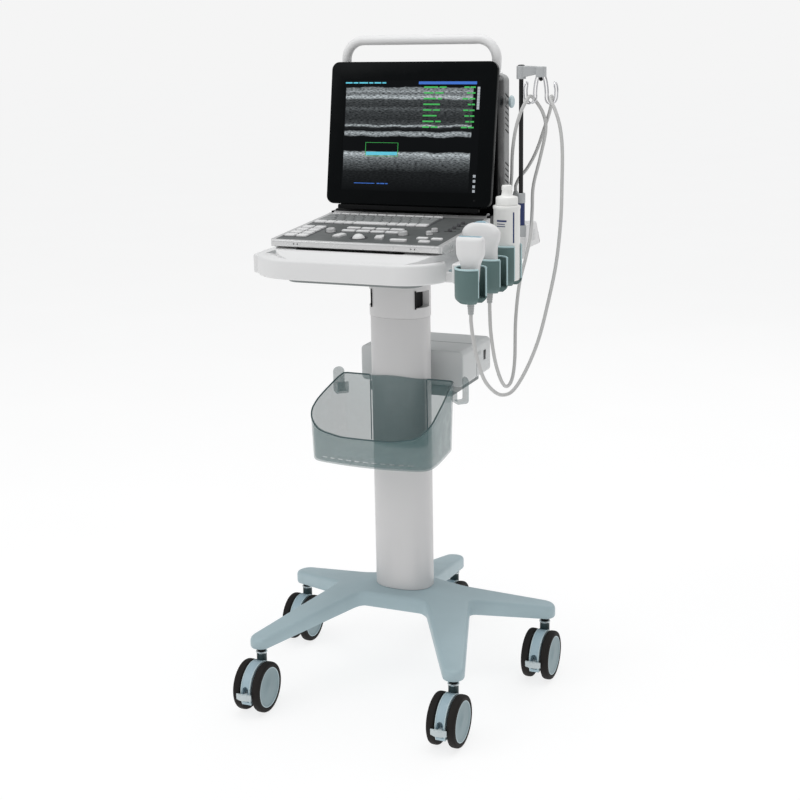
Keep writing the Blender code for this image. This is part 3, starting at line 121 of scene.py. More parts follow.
# ------------------------------------------------------------------ keyboard
DECK_SLOPE = math.radians(3.9)
DECK_ORIGIN_Y = 0.082
DECK_ORIGIN_Z = 1.0021
KEYBOARD_HALF = 0.1816
KEYBOARD_FRONT = -0.2127
KEYBOARD_BOTTOM = DOCK_Z + GAP
HINGE_Y = 0.077
HINGE_Z = 0.992
BARREL_RADIUS = 0.0165
DECK_HALF = 0.172
DECK_NEAR = -0.288
DECK_FAR = -0.028
DECK_DEPTH = 0.0018
KEY_RISE = 0.003
KEY_GAP = 0.0022
KEY_PITCH = 0.021
KEYS_LEFT = -0.166              # left end of every row of keys
WHITE_ROWS = (-0.040, -0.128)   # front edges of the two rows with white keycaps
BALL_RADIUS = 0.0135
BALL_SINK = 0.0045
BALL_STEPS = 48
BALL_PLACE = (-0.008, -0.252)
FREEZE_PLACE = (0.083, -0.262)
ENCODERS = {"left": (-0.089, -0.207), "right": (0.067, -0.207)}
KNOBS = {"front": (0.118, -0.196), "rear": (0.118, -0.168)}
SLIDER_X = 0.147
SLIDER_FIRST = -0.160
SLIDER_PITCH = 0.0245
SLIDER_COUNT = 4

# ------------------------------------------------------------------ display and main unit
LCD_TILT = math.radians(9.8)
LCD_FRONT_Y = 0.0507
LCD_BOTTOM_Z = 1.0223
LCD_HALF = 0.184
LCD_HEIGHT = 0.294
LCD_DEPTH = 0.0155
PANEL_HALF = 0.152
PANEL_LOW = 0.0288
PANEL_HIGH = 0.2568
UNIT_HALF = 0.180
UNIT_FRONT = 0.112
CHEEK_FRONT = 0.0668            # front of the two cheeks beside the keyboard's hinge
UNIT_SEAM = 0.150
UNIT_REAR = 0.187
UNIT_TOP = 1.283
VENT_TILT = math.radians(-24)
VENT_PITCH = 0.012
HANDLE_Y = 0.140
HANDLE_HALF = 0.168
HANDLE_TOP = 1.3545
HANDLE_BEND = 0.040
HANDLE_RADIUS = 0.010
PEG_Y = 0.165
PEG_Z = 1.228

# ------------------------------------------------------------------ pole and hook
POLE_X = 0.232
POLE_Y = 0.105
ROD_RADIUS = 0.0045
SOCKET_RADIUS = 0.012
HOOK_X = 0.275
HOOK_Y = 0.100
HOOK_SPREAD = 0.009
WIRE_RADIUS = 0.0015
ARM_BOTTOM = 1.278
ARM_TOP = 1.302

# ------------------------------------------------------------------ cords
CORD_RADIUS = 0.0035
PROBE_STEPS = 56
CORD_LEAD = 0.011               # straight length at either end
LINEAR_EXIT = (0.250, -0.2385, 0.8620)
CONVEX_EXIT = (0.2445, -0.1200, 0.8625)
LINEAR_PLUG_EXIT = (0.1960, 0.1780, 1.0440)
CONVEX_PLUG_EXIT = (0.1935, 0.1520, 1.0400)
LINEAR_ROUTE = (
    (0.2520, -0.2350, 0.8214), (0.2567, -0.2250, 0.7783),
    (0.2614, -0.2000, 0.7313), (0.2700, -0.1700, 0.7013), (0.2787, -0.1400, 0.6869),
    (0.2899, -0.1100, 0.6906), (0.3022, -0.0700, 0.7227), (0.3137, -0.0300, 0.7737),
    (0.3223, 0.0000, 0.8372), (0.3309, 0.0300, 0.9191), (0.3343, 0.0480, 1.0024),
    (0.3325, 0.0600, 1.0750), (0.3300, 0.0680, 1.1400), (0.3230, 0.0740, 1.1850),
    (0.3110, 0.0785, 1.2180), (0.2995, 0.0850, 1.2362), (0.2968, 0.1000, 1.2428),
    (0.2940, 0.1150, 1.2366), (0.2840, 0.1310, 1.2120), (0.2700, 0.1430, 1.1800),
    (0.2500, 0.1500, 1.1300), (0.2280, 0.1600, 1.0950), (0.2060, 0.1720, 1.0720))
CONVEX_ROUTE = (
    (0.2461, -0.1180, 0.8035), (0.2482, -0.1000, 0.7445),
    (0.2501, -0.0700, 0.6983), (0.2515, -0.0400, 0.6780), (0.2526, -0.0100, 0.6866),
    (0.2500, 0.0150, 0.7224), (0.2450, 0.0350, 0.8000), (0.2460, 0.0550, 0.8700),
    (0.2510, 0.0800, 0.9200), (0.2530, 0.1050, 0.9650), (0.2480, 0.1300, 1.0100),
    (0.2480, 0.1370, 1.0600), (0.2640, 0.1330, 1.1200), (0.2770, 0.1270, 1.1750),
    (0.2720, 0.1240, 1.2080), (0.2570, 0.1170, 1.2345), (0.2530, 0.1000, 1.2428),
    (0.2505, 0.0850, 1.2362), (0.2400, 0.0780, 1.2120), (0.2270, 0.0840, 1.1757),
    (0.2120, 0.1100, 1.1298), (0.1985, 0.1450, 1.0800))

# ------------------------------------------------------------------ basket and power box
BASKET_BOTTOM = 0.520
BASKET_WALL = 0.0025
BASKET_REAR = -0.005
BASKET_CREST = 0.6705           # height of the rim along the rear
HOOK_TOP = 0.679
BAY_HALF = 0.066                # half width of the bay round the column
CUT_TOP = 0.75                  # upper end of the cuts that shape the basket's rim
BOX_HALF = 0.118
BOX_FRONT = 0.0662
BOX_REAR = 0.237
BOX_BOTTOM = 0.6395
BOX_TOP = 0.7165

AXIS_ORDER = {"x": (2, 0, 1), "y": (0, 2, 1), "z": (0, 1, 2)}    # outline point and level as x, y, z


# ------------------------------------------------------------------ outlines
def arc(centre_a, centre_b, radius, start, end, steps=CORNER_STEPS):
    """Points of a circular arc from start to end degrees, both ends included."""
    points = []
    for index in range(steps + 1):
        angle = math.radians(start + (end - start) * index / steps)
        points.append((centre_a + radius * math.cos(angle), centre_b + radius * math.sin(angle)))
    return points


def rounded_rect(low_a, high_a, low_b, high_b, radii, steps=CORNER_STEPS):
    """Counter-clockwise rounded rectangle; radii start at the low/low corner."""
    near_left, near_right, far_right, far_left = radii
    points = arc(low_a + near_left, low_b + near_left, near_left, 180, 270, steps)
    points += arc(high_a - near_right, low_b + near_right, near_right, 270, 360, steps)
    points += arc(high_a - far_right, high_b - far_right, far_right, 0, 90, steps)
    points += arc(low_a + far_left, high_b - far_left, far_left, 90, 180, steps)
    return points


def sided(side, near, far):
    """Ends of a span on one side of the middle, the lower one first."""
    return sorted((side * near, side * far))


def circle(centre_a, centre_b, radius, steps):
    """Regular outline round a centre."""
    return arc(centre_a, centre_b, radius, 0, 360 * (steps - 1) / steps, steps - 1)


def oval(centre_a, centre_b, half_a, half_b, power, steps):
    """Superellipse outline."""
    points = []
    for index in range(steps):
        angle = 2 * math.pi * index / steps
        cosine, sine = math.cos(angle), math.sin(angle)
        reach_a = half_a * math.copysign(abs(cosine) ** (2 / power), cosine)
        reach_b = half_b * math.copysign(abs(sine) ** (2 / power), sine)
        points.append((centre_a + reach_a, centre_b + reach_b))
    return points


def hull(points):
    """Convex outline round a set of points, counter-clockwise."""
    ordered = sorted(set(points))
    chains = []
    for sequence in (ordered, ordered[::-1]):
        chain = []
        for point in sequence:
            while len(chain) > 1 and turn(chain[-2], chain[-1], point) <= TINY * TINY:
                chain.pop()
            chain.append(point)
        chains.append(chain[:-1])
    return chains[0] + chains[1]


def turn(first, second, third):
    """Signed area of the corner first, second, third."""
    step_a = (second[0] - first[0], second[1] - first[1])
    step_b = (third[0] - first[0], third[1] - first[1])
    return step_a[0] * step_b[1] - step_a[1] * step_b[0]


def inset(outline, distance):
    """Outline moved inwards by the distance, its corners mitred."""
    if distance == 0:
        return list(outline)
    count = len(outline)
    moved = []
    for index in range(count):
        before, here = Vector(outline[index - 1]), Vector(outline[index])
        after = Vector(outline[(index + 1) % count])
        first, second = (here - before).normalized(), (after - here).normalized()
        normal_a, normal_b = Vector((-first.y, first.x)), Vector((-second.y, second.x))
        mitre = (normal_a + normal_b) / (1 + normal_a.dot(normal_b))
        moved.append(tuple(here + mitre * distance))
    return moved


# ------------------------------------------------------------------ solids
def lift(point, axis, level):
    """A flat outline point put at a level along the given axis."""
    values = (point[0], point[1], level)
    order = AXIS_ORDER[axis]
    return tuple(values[order[index]] for index in range(3))


def band(body, low, high):
    """Faces between two rows of corners; one row may be a single corner."""
    count = max(len(low), len(high))
    for index in range(count):
        following = (index + 1) % count
        if len(low) == 1:
            body.faces.new((low[0], high[following], high[index]))
        elif len(high) == 1:
            body.faces.new((low[index], low[following], high[0]))
        else:
            body.faces.new((low[index], low[following], high[following], high[index]))


def banded(rings):
    """Body of bands through equal rings of points, open at both ends, with its rows of corners."""
    body = bmesh.new()
    rows = [[body.verts.new(point) for point in ring] for ring in rings]
    for low, high in zip(rows, rows[1:]):
        band(body, low, high)
    return body, rows


def loft(rings):
    """Closed body through equal rings of points, flat caps at both ends."""
    body, rows = banded(rings)
    body.faces.new(rows[0][::-1])
    body.faces.new(rows[-1])
    return body


def slab(outline, axis, low, high, edge=0.0):
    """Outline pushed along an axis, its end edges chamfered."""
    levels = ((low, 0.0), (high, 0.0))
    if edge:
        levels = ((low, edge), (low + edge, 0.0), (high - edge, 0.0), (high, edge))
    return loft([[lift(point, axis, level) for point in inset(outline, cut)] for level, cut in levels])


def block(low, high, radius=0.0, edge=0.0, axis="z"):
    """Box between two corners; corner radius about the axis, chamfer along it."""
    side_a, side_b, height = OUTLINE_PLANES[axis]
    if radius:
        outline = rounded_rect(low[side_a], high[side_a], low[side_b], high[side_b], (radius,) * 4)
    else:
        outline = [(low[side_a], low[side_b]), (high[side_a], low[side_b]),
                   (high[side_a], high[side_b]), (low[side_a], high[side_b])]
    return slab(outline, axis, low[height], high[height], edge)


def turned(profile, centre=ORIGIN, axis="z", steps=TURNED_STEPS, closed=False):
    """Body turned about an axis from (radius, height) pairs."""
    body = bmesh.new()
    rows = []
    for radius, height in profile:
        outline = circle(0.0, 0.0, radius, steps) if radius > TINY else [(0.0, 0.0)]
        points = [Vector(lift(point, axis, height)) + Vector(centre) for point in outline]
        rows.append([body.verts.new(point) for point in points])
    pairs = list(zip(rows, rows[1:]))
    if closed:
        pairs.append((rows[-1], rows[0]))
    for low, high in pairs:
        band(body, low, high)
    return body


def rod(centre, radius, low, high, axis="z", steps=16):
    """Plain cylinder along an axis."""
    return turned(((0.0, low), (radius, low), (radius, high), (0.0, high)), centre, axis, steps)


def swept(path, radii, sides):
    """Round tube through the points, with a radius at each of them."""
    points = [Vector(point) for point in path]
    side = None
    rings = []
    for index, point in enumerate(points):
        ahead = points[min(index + 1, len(points) - 1)] - points[max(index - 1, 0)]
        ahead.normalize()
        if side is None:
            side = ahead.orthogonal().normalized()
        side = (side - ahead * side.dot(ahead)).normalized()
        other = ahead.cross(side)
        ring = []
        for step in range(sides):
            angle = 2 * math.pi * step / sides
            ring.append(point + (side * math.cos(angle) + other * math.sin(angle)) * radii[index])
        rings.append(ring)
    return loft(rings)


def smooth_between(values, share):
    """Smooth value or point between the middle two of four."""
    before, start, end, after = values
    return 0.5 * (2 * start + (end - before) * share + (2 * before - 5 * start + 4 * end - after) * share ** 2
                  + (3 * start - before - 3 * end + after) * share ** 3)


def smooth_path(points, count):
    """Evenly spaced points of the smooth curve through the given ones."""
    nodes = [Vector(point) for point in points]
    nodes = [nodes[0] * 2 - nodes[1]] + nodes + [nodes[-1] * 2 - nodes[-2]]
    fine = []
    per_span = 24
    for index in range(1, len(nodes) - 2):
        for step in range(per_span):
            fine.append(smooth_between(nodes[index - 1:index + 3], step / per_span))
    fine.append(nodes[-2])
    travelled = [0.0]
    for first, second in zip(fine, fine[1:]):
        travelled.append(travelled[-1] + (second - first).length)
    spaced = []
    cursor = 0
    for index in range(count):
        target = travelled[-1] * index / (count - 1)
        while cursor < len(fine) - 2 and travelled[cursor + 1] < target:
            cursor += 1
        span = travelled[cursor + 1] - travelled[cursor]
        share = (target - travelled[cursor]) / span if span else 0.0
        spaced.append(fine[cursor].lerp(fine[cursor + 1], min(share, 1.0)))
    return spaced


# ------------------------------------------------------------------ combining
def show(thing):
    """Put an object into the scene."""
    bpy.context.scene.collection.objects.link(thing)


def scratch_object(body):
    """Short-lived object that carries a body through a Boolean."""
    mesh = bpy.data.meshes.new("scratch")
    bmesh.ops.recalc_face_normals(body, faces=body.faces)
    body.to_mesh(mesh)
    body.free()
    holder = bpy.data.objects.new("scratch", mesh)
    show(holder)
    return holder


def combine(body, tools, operation):
    """The body with every tool joined to it, cut from it or kept in common."""
    host = scratch_object(body)
    helpers = [scratch_object(tool) for tool in tools]
    for helper in helpers:
        step = host.modifiers.new("combine", "BOOLEAN")
        step.operation = operation
        step.solver = "EXACT"
        step.object = helper
    bpy.context.view_layer.update()
    graph = bpy.context.evaluated_depsgraph_get()
    result = bmesh.new()
    result.from_mesh(host.evaluated_get(graph).data)
    for used in [host] + helpers:
        mesh = used.data
        bpy.data.objects.remove(used)
        bpy.data.meshes.remove(mesh)
    bmesh.ops.remove_doubles(result, verts=result.verts, dist=TINY)
    bmesh.ops.dissolve_degenerate(result, edges=result.edges, dist=TINY)
    return result


def join(bodies):
    """Several separate bodies in one mesh, for use as one tool."""
    combined = bmesh.new()
    for body in bodies:
        mesh = bpy.data.meshes.new("scratch")
        body.to_mesh(mesh)
        body.free()
        combined.from_mesh(mesh)
        bpy.data.meshes.remove(mesh)
    return combined


def turn_and_move(body, matrix):
    """The body put through a transform."""
    bmesh.ops.transform(body, matrix=matrix, verts=body.verts)
    return body


# ------------------------------------------------------------------ looks
# name: displayed colour, roughness, metallic, specular, coat, grain per metre, bump, colour spread,
# record slot
LOOKS = {
    "base_paint": ((0.670, 0.750, 0.775), 0.42, 0.0, 0.35, 0.05, 900, 0.06, 0.05, "cool_grey_paint"),
    "hood_blue": ((0.66, 0.75, 0.79), 0.38, 0.0, 0.40, 0.05, 1200, 0.04, 0.05, "pale_blue_plastic"),
    "hub_grey": ((0.56, 0.635, 0.655), 0.48, 0.0, 0.35, 0.0, 1400, 0.06, 0.07, "pale_blue_plastic"),
    "rim_pale": ((0.76, 0.83, 0.85), 0.35, 0.0, 0.40, 0.0, 1400, 0.04, 0.04, "pale_blue_plastic"),
    "tyre": ((0.135, 0.125, 0.12), 0.70, 0.0, 0.18, 0.0, 700, 0.25, 0.16, "tyre_black"),
    "tube_teal": ((0.22, 0.28, 0.29), 0.40, 0.2, 0.30, 0.0, 900, 0.05, 0.08, "pale_blue_plastic"),
    "ring_bright": ((0.84, 0.87, 0.88), 0.25, 0.6, 0.50, 0.0, 900, 0.03, 0.04, "pale_blue_plastic"),
    "neck_black": ((0.06, 0.065, 0.07), 0.45, 0.0, 0.18, 0.0, 900, 0.05, 0.12, "tyre_black"),
    "pedal": ((0.78, 0.82, 0.83), 0.42, 0.0, 0.40, 0.0, 1300, 0.06, 0.05, "pedal_grey"),
    "column_satin": ((0.845, 0.840, 0.840), 0.36, 0.05, 0.40, 0.10, 1600, 0.05, 0.012, "column_grey"),
    "tray_white": ((0.885, 0.885, 0.885), 0.40, 0.0, 0.38, 0.05, 1500, 0.04, 0.012, "tray_white"),
    "under_grey": ((0.52, 0.54, 0.54), 0.50, 0.0, 0.30, 0.0, 1200, 0.06, 0.06, "holder_teal"),
    # near-black painted shade for the floors of openings and slots, and for the keyboard's painted shadow on
    # the tray
    "painted_gap_shade": ((0.045, 0.045, 0.05), 0.60, 0.0, 0.12, 0.0, 1200, 0.05, 0.15, "gloss_black"),
    "cup_teal": ((0.36, 0.45, 0.445), 0.46, 0.0, 0.35, 0.0, 1300, 0.08, 0.07, "holder_teal"),
    # pale teal for the cups' rims and slot edges: painted highlight
    "cup_rim_highlight": ((0.70, 0.80, 0.81), 0.38, 0.0, 0.40, 0.0, 1300, 0.04, 0.05, "holder_teal"),
    "basket_edge": ((0.25, 0.34, 0.35), 0.32, 0.0, 0.45, 0.10, 1300, 0.04, 0.06, "basket_teal"),
    "box_grey": ((0.81, 0.82, 0.82), 0.42, 0.0, 0.40, 0.0, 1400, 0.08, 0.03, "box_grey"),
    "case_silver": ((0.84, 0.84, 0.84), 0.30, 0.45, 0.45, 0.08, 1800, 0.05, 0.03, "silver_case"),
    "deck_grey": ((0.375, 0.385, 0.385), 0.44, 0.1, 0.30, 0.0, 1800, 0.08, 0.03, "key_white"),
    "key_white": ((0.87, 0.87, 0.87), 0.45, 0.0, 0.40, 0.0, 2200, 0.06, 0.03, "key_white"),
    "key_smoke": ((0.53, 0.54, 0.54), 0.40, 0.0, 0.40, 0.0, 2200, 0.06, 0.05, "key_white"),
    "dial_silver": ((0.80, 0.80, 0.80), 0.32, 0.3, 0.45, 0.0, 2000, 0.06, 0.05, "control_grey"),
    "knob_grey": ((0.30, 0.30, 0.31), 0.42, 0.0, 0.35, 0.0, 2000, 0.10, 0.08, "control_grey"),
    "bezel_black": ((0.035, 0.045, 0.05), 0.22, 0.0, 0.06, 0.0, 1600, 0.03, 0.12, "gloss_black"),
    "hinge_black": ((0.045, 0.05, 0.055), 0.30, 0.0, 0.12, 0.0, 1600, 0.05, 0.10, "gloss_black"),
    "unit_grey": ((0.56, 0.565, 0.565), 0.44, 0.0, 0.35, 0.0, 1500, 0.12, 0.05, "unit_grey"),
    "rod_black": ((0.05, 0.05, 0.055), 0.14, 0.3, 0.30, 0.20, 1500, 0.02, 0.10, "rod_black"),
    "clamp_grey": ((0.70, 0.71, 0.715), 0.36, 0.1, 0.40, 0.0, 1500, 0.06, 0.05, "clamp_grey"),
    "chrome": ((0.82, 0.82, 0.83), 0.12, 1.0, 0.50, 0.0, 1500, 0.02, 0.04, "chrome_wire"),
    "cord": ((0.76, 0.76, 0.755), 0.50, 0.0, 0.35, 0.0, 2500, 0.10, 0.04, "cord_grey"),
    "relief": ((0.66, 0.67, 0.67), 0.52, 0.0, 0.30, 0.0, 2500, 0.10, 0.04, "cord_grey"),
    "lens_blue": ((0.62, 0.74, 0.79), 0.28, 0.0, 0.40, 0.0, 2000, 0.03, 0.05, "tray_white"),
    "navy": ((0.17, 0.22, 0.40), 0.42, 0.0, 0.30, 0.0, 2000, 0.04, 0.06, "gel_bottle_white"),
    "bottle_white": ((0.925, 0.925, 0.915), 0.32, 0.0, 0.42, 0.10, 1500, 0.05, 0.02, "gel_bottle_white"),
    "cap_white": ((0.95, 0.95, 0.94), 0.34, 0.0, 0.42, 0.0, 1500, 0.05, 0.02, "cap_white"),
    "switch_black": ((0.07, 0.07, 0.07), 0.35, 0.0, 0.20, 0.0, 1500, 0.05, 0.10, "switch_black"),
    "screen_cyan": ((0.35, 0.72, 0.80), 0.40, 0.0, 0.20, 0.0, 2500, 0.02, 0.08, "screen_glass"),
    "screen_green": ((0.25, 0.66, 0.33), 0.40, 0.0, 0.20, 0.0, 2500, 0.02, 0.08, "screen_glass"),
    "screen_blue": ((0.22, 0.40, 0.72), 0.40, 0.0, 0.20, 0.0, 2500, 0.02, 0.08, "screen_glass"),
    "screen_grey": ((0.62, 0.64, 0.66), 0.40, 0.0, 0.20, 0.0, 2500, 0.02, 0.08, "screen_glass"),
}
GLOWING = {"screen_cyan": 0.35, "screen_green": 0.35, "screen_blue": 0.35, "screen_grey": 0.35}
FINISHED = {}
GRAIN_DEPTH = 0.0006            # height of the surface grain


def linear_channel(value):
    """Displayed colour value as linear light."""
    if value <= 0.04045:
        return value / 12.92
    return ((value + 0.055) / 1.055) ** 2.4


def tone(colour, scale=1.0):
    """Displayed colour scaled in linear light, with alpha."""
    return [min(1.0, linear_channel(value) * scale) for value in colour] + [1.0]


def node(tree, kind, **settings):
    """New shader node with its plain settings."""
    made = tree.nodes.new("ShaderNode" + kind)
    for name, value in settings.items():
        setattr(made, name, value)
    return made


def fill(tree, socket, value):
    """Give an input socket a value or another node's output."""
    if isinstance(value, bpy.types.NodeSocket):
        tree.links.new(value, socket)
    else:
        socket.default_value = value


def feed(tree, made, **sockets):
    """Fill named input sockets of a node."""
    for name, value in sockets.items():
        fill(tree, made.inputs[name.replace("_", " ")], value)
    return made


def object_coordinates(tree):
    """Position on the piece in its own axes, metres."""
    return node(tree, "TexCoord").outputs["Object"]


def noise(tree, coordinates, scale, detail=3.0):
    """Noise value of a given number of features per metre."""
    made = feed(tree, node(tree, "TexNoise"), Vector=coordinates, Scale=scale, Detail=detail)
    return made.outputs["Fac"]


def ranged(tree, value, low, high, start=0.3, end=0.7):
    """A noise value brought into a range."""
    made = feed(tree, node(tree, "MapRange"), Value=value, From_Min=start, From_Max=end, To_Min=low,
                To_Max=high)
    return made.outputs["Result"]


def blended(tree, factor, first, second):
    """Colour mixed between two others."""
    made = node(tree, "Mix", data_type="RGBA")
    tree.links.new(factor, made.inputs["Factor"])
    fill(tree, made.inputs[6], first)
    fill(tree, made.inputs[7], second)
    return made.outputs[2]


def new_material(name):
    """Material with its node tree, its shader and the position on the piece."""
    material = bpy.data.materials.new(name)
    material.use_nodes = True
    tree = material.node_tree
    return material, tree, tree.nodes["Principled BSDF"], object_coordinates(tree)


def finish(name):
    """Material of one look: softly mottled colour and gloss over a fine surface grain."""
    if name in FINISHED:
        return FINISHED[name]
    colour, rough, metallic, specular, coat, grain, bump, spread, _ = LOOKS[name]
    material, tree, shader, where = new_material(name)
    broad = ranged(tree, noise(tree, where, 9.0), 0.0, 1.0)
    mottled = blended(tree, broad, tone(colour, 1 - spread), tone(colour, 1 + spread))
    speck = ranged(tree, noise(tree, where, grain * 0.35, 2.0), 0.0, 0.25)
    shade = blended(tree, speck, mottled, tone(colour, 1 - spread))
    gloss = ranged(tree, noise(tree, where, 34.0, 4.0), max(0.05, rough - 0.06), rough + 0.07)
    relief = feed(tree, node(tree, "Bump"), Height=noise(tree, where, grain, 2.0), Strength=bump,
                  Distance=GRAIN_DEPTH)
    feed(tree, shader, Base_Color=shade, Roughness=gloss, Metallic=metallic, Normal=relief.outputs["Normal"])
    feed(tree, shader, Specular_IOR_Level=specular, Coat_Weight=coat, Coat_Roughness=0.12)
    if name in GLOWING:
        feed(tree, shader, Emission_Color=shade, Emission_Strength=GLOWING[name])
    material.diffuse_color = tone(colour)
    FINISHED[name] = material
    return material


def basket_material():
    """Smoked teal plastic that lets a little of what is behind it through."""
    material, tree, shader, where = new_material("basket_smoke")
    broad = ranged(tree, noise(tree, where, 7.0), 0.0, 1.0)
    colour = blended(tree, broad, tone((0.36, 0.485, 0.49)), tone((0.39, 0.515, 0.52)))
    gloss = ranged(tree, noise(tree, where, 40.0, 4.0), 0.22, 0.36)
    grain = feed(tree, node(tree, "Bump"), Height=noise(tree, where, 1400.0), Strength=0.05, Distance=0.0005)
    feed(tree, shader, Base_Color=colour, Roughness=gloss, Normal=grain.outputs["Normal"])
    feed(tree, shader, Alpha=0.36, Specular_IOR_Level=0.45, Coat_Weight=0.1)
    FINISHED["basket_smoke"] = material


# height share from the bottom of the picture: brightness of the echo there
ECHOES = (
    (0.0, 0.0), (0.177, 0.02), (0.253, 0.16), (0.29, 0.30), (0.317, 0.55), (0.335, 0.85), (0.352, 0.35),
    (0.357, 0.0), (0.489, 0.0), (0.498, 0.35), (0.516, 0.62), (0.53, 0.55), (0.543, 0.0), (0.575, 0.03),
    (0.59, 0.75), (0.602, 0.10), (0.65, 0.05), (0.715, 0.08), (0.742, 0.16), (0.76, 0.06), (0.823, 0.10),
    (0.835, 0.65), (0.85, 0.75), (0.866, 0.35), (0.882, 0.25), (0.896, 0.60), (0.909, 0.35), (0.930, 0.35),
    (0.934, 0.0))


def calculate(tree, operation, *values):
    """Arithmetic node over sockets and numbers."""
    made = node(tree, "Math", operation=operation)
    for socket, value in zip(made.inputs, values):
        fill(tree, socket, value)
    return made.outputs[0]


def screen_material():
    """Dark display showing a layered grey echo picture over its left part."""
    material, tree, shader, where = new_material("screen_picture")
    split = feed(tree, node(tree, "SeparateXYZ"), Vector=where)
    across = ranged(tree, split.outputs["X"], 0.0, 1.0, -PANEL_HALF, PANEL_HALF)
    upward = ranged(tree, split.outputs["Y"], 0.0, 1.0, PANEL_LOW, PANEL_HIGH)
    wave = ranged(tree, noise(tree, where, 22.0), -0.009, 0.009)
    level = calculate(tree, "ADD", upward, wave)
    ramp = node(tree, "ValToRGB")
    stops = ramp.color_ramp.elements
    while len(stops) < len(ECHOES):
        stops.new(0.5)
    for stop, (height, grey) in zip(stops, ECHOES):
        stop.position = height
        stop.color = (grey, grey, grey, 1.0)
    tree.links.new(level, ramp.inputs["Fac"])
    stretch = feed(tree, node(tree, "Mapping"), Vector=where, Scale=(1.0, 5.0, 1.0))
    speckle = ranged(tree, noise(tree, stretch.outputs["Vector"], 150.0, 5.0), 0.15, 1.5, 0.36, 0.64)
    left = calculate(tree, "GREATER_THAN", across, 0.012)
    right = calculate(tree, "LESS_THAN", across, 0.945)
    echo = calculate(tree, "MULTIPLY", ramp.outputs["Color"], speckle)
    echo = calculate(tree, "MULTIPLY", echo, calculate(tree, "MULTIPLY", left, right))
    echo = calculate(tree, "MINIMUM", echo, 1.0)
    colour = blended(tree, echo, (0.002, 0.0025, 0.003, 1.0), (0.42, 0.46, 0.48, 1.0))
    smear = ranged(tree, noise(tree, where, 30.0), 0.12, 0.20)
    feed(tree, shader, Base_Color=colour, Roughness=smear, Specular_IOR_Level=0.08)
    feed(tree, shader, Emission_Color=colour, Emission_Strength=0.55)
    FINISHED["screen_picture"] = material


# ------------------------------------------------------------------ pieces
def piece_mesh(name, body, look):
    """Mesh of a body in one look, smooth on its rounded parts."""
    bmesh.ops.recalc_face_normals(body, faces=body.faces)
    mesh = bpy.data.meshes.new(name)
    body.to_mesh(mesh)
    body.free()
    mesh.materials.append(FINISHED.get(look) or finish(look))
    mesh.polygons.foreach_set("use_smooth", [True] * len(mesh.polygons))
    mesh.set_sharp_from_angle(angle=SHARP_ANGLE)
    return mesh


def piece(name, shape, look, stands_for=(), body="trolley", place=(0.0, 0.0, 0.0)):
    """One named piece that moves with a body and may stand for nodes of the frame."""
    mesh = shape if isinstance(shape, bpy.types.Mesh) else piece_mesh(name, shape, look)
    made = bpy.data.objects.new(name, mesh)
    made.location = (place[0], place[1] + SHIFT_Y, place[2])
    show(made)
    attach(made, body)
    if stands_for:
        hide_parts(*([stands_for] if isinstance(stands_for, str) else stands_for))
    return made


def soft_slab(outline, axis, low, high, radius, bottom=None):
    """Outline pushed along an axis with rounded end edges."""
    foot = radius if bottom is None else bottom
    levels = []
    for edge, start, sense in ((foot, low, 1), (radius, high, -1)):
        rows = []
        for index in range(EDGE_STEPS + 1):
            angle = math.pi / 2 * index / EDGE_STEPS
            rows.append((start + sense * edge * (1 - math.cos(angle)), edge * (1 - math.sin(angle))))
        if edge == 0:
            rows = rows[:1]
        levels += rows if sense == 1 else rows[::-1]
    return loft([[lift(point, axis, level) for point in inset(outline, cut)] for level, cut in levels])


def soft_block(low, high, radius, edge, axis="z"):
    """Box with rounded corners about the axis and rounded edges along it."""
    side_a, side_b, height = OUTLINE_PLANES[axis]
    outline = rounded_rect(low[side_a], high[side_a], low[side_b], high[side_b], (radius,) * 4)
    return soft_slab(outline, axis, low[height], high[height], edge)


def fair(rows, per_span=5):
    """Rows of numbers filled in smoothly between the given ones."""
    rows = [tuple(float(value) for value in row) for row in rows]
    padded = [rows[0]] + rows + [rows[-1]]
    filled = []
    for index in range(1, len(padded) - 2):
        group = padded[index - 1:index + 3]
        for step in range(per_span):
            share = step / per_span
            filled.append(tuple(smooth_between(values, share) for values in zip(*group)))
    return filled + [rows[-1]]


# ------------------------------------------------------------------ base and casters
def stem_place(label):
    """Floor point under the caster stem of one leg."""
    turned_by = math.radians(LEG_ANGLES[label])
    reach = STEM_DISTANCES[label]
    return reach * math.cos(turned_by), reach * math.sin(turned_by)


def leg_side(label, side):
    """Side line of a leg: its floor points beside the stem and at the root."""
    heading = math.radians(LEG_HEADINGS[label])
    along = Vector((math.cos(heading), math.sin(heading)))
    across = Vector((-math.sin(heading), math.cos(heading)))
    stem = Vector(stem_place(label))
    return stem + across * side * LEG_TIP_HALF, stem - along * LEG_SPAN + across * side * LEG_ROOT_HALF


def crossing(first, second):
    """Floor point where two lines, each given by two points, cross."""
    along, across = first[1] - first[0], second[1] - second[0]
    return first[0] + along * ((second[0] - first[0]).cross(across) / along.cross(across))


def fillet(before, corner, after, steps):
    """Soft curve in place of a corner."""
    start = corner + (before - corner).normalized() * CROTCH_SOFTNESS
    end = corner + (after - corner).normalized() * CROTCH_SOFTNESS
    shares = [index / steps for index in range(steps + 1)]
    return [start * (1 - share) ** 2 + corner * 2 * share * (1 - share) + end * share ** 2
            for share in shares]


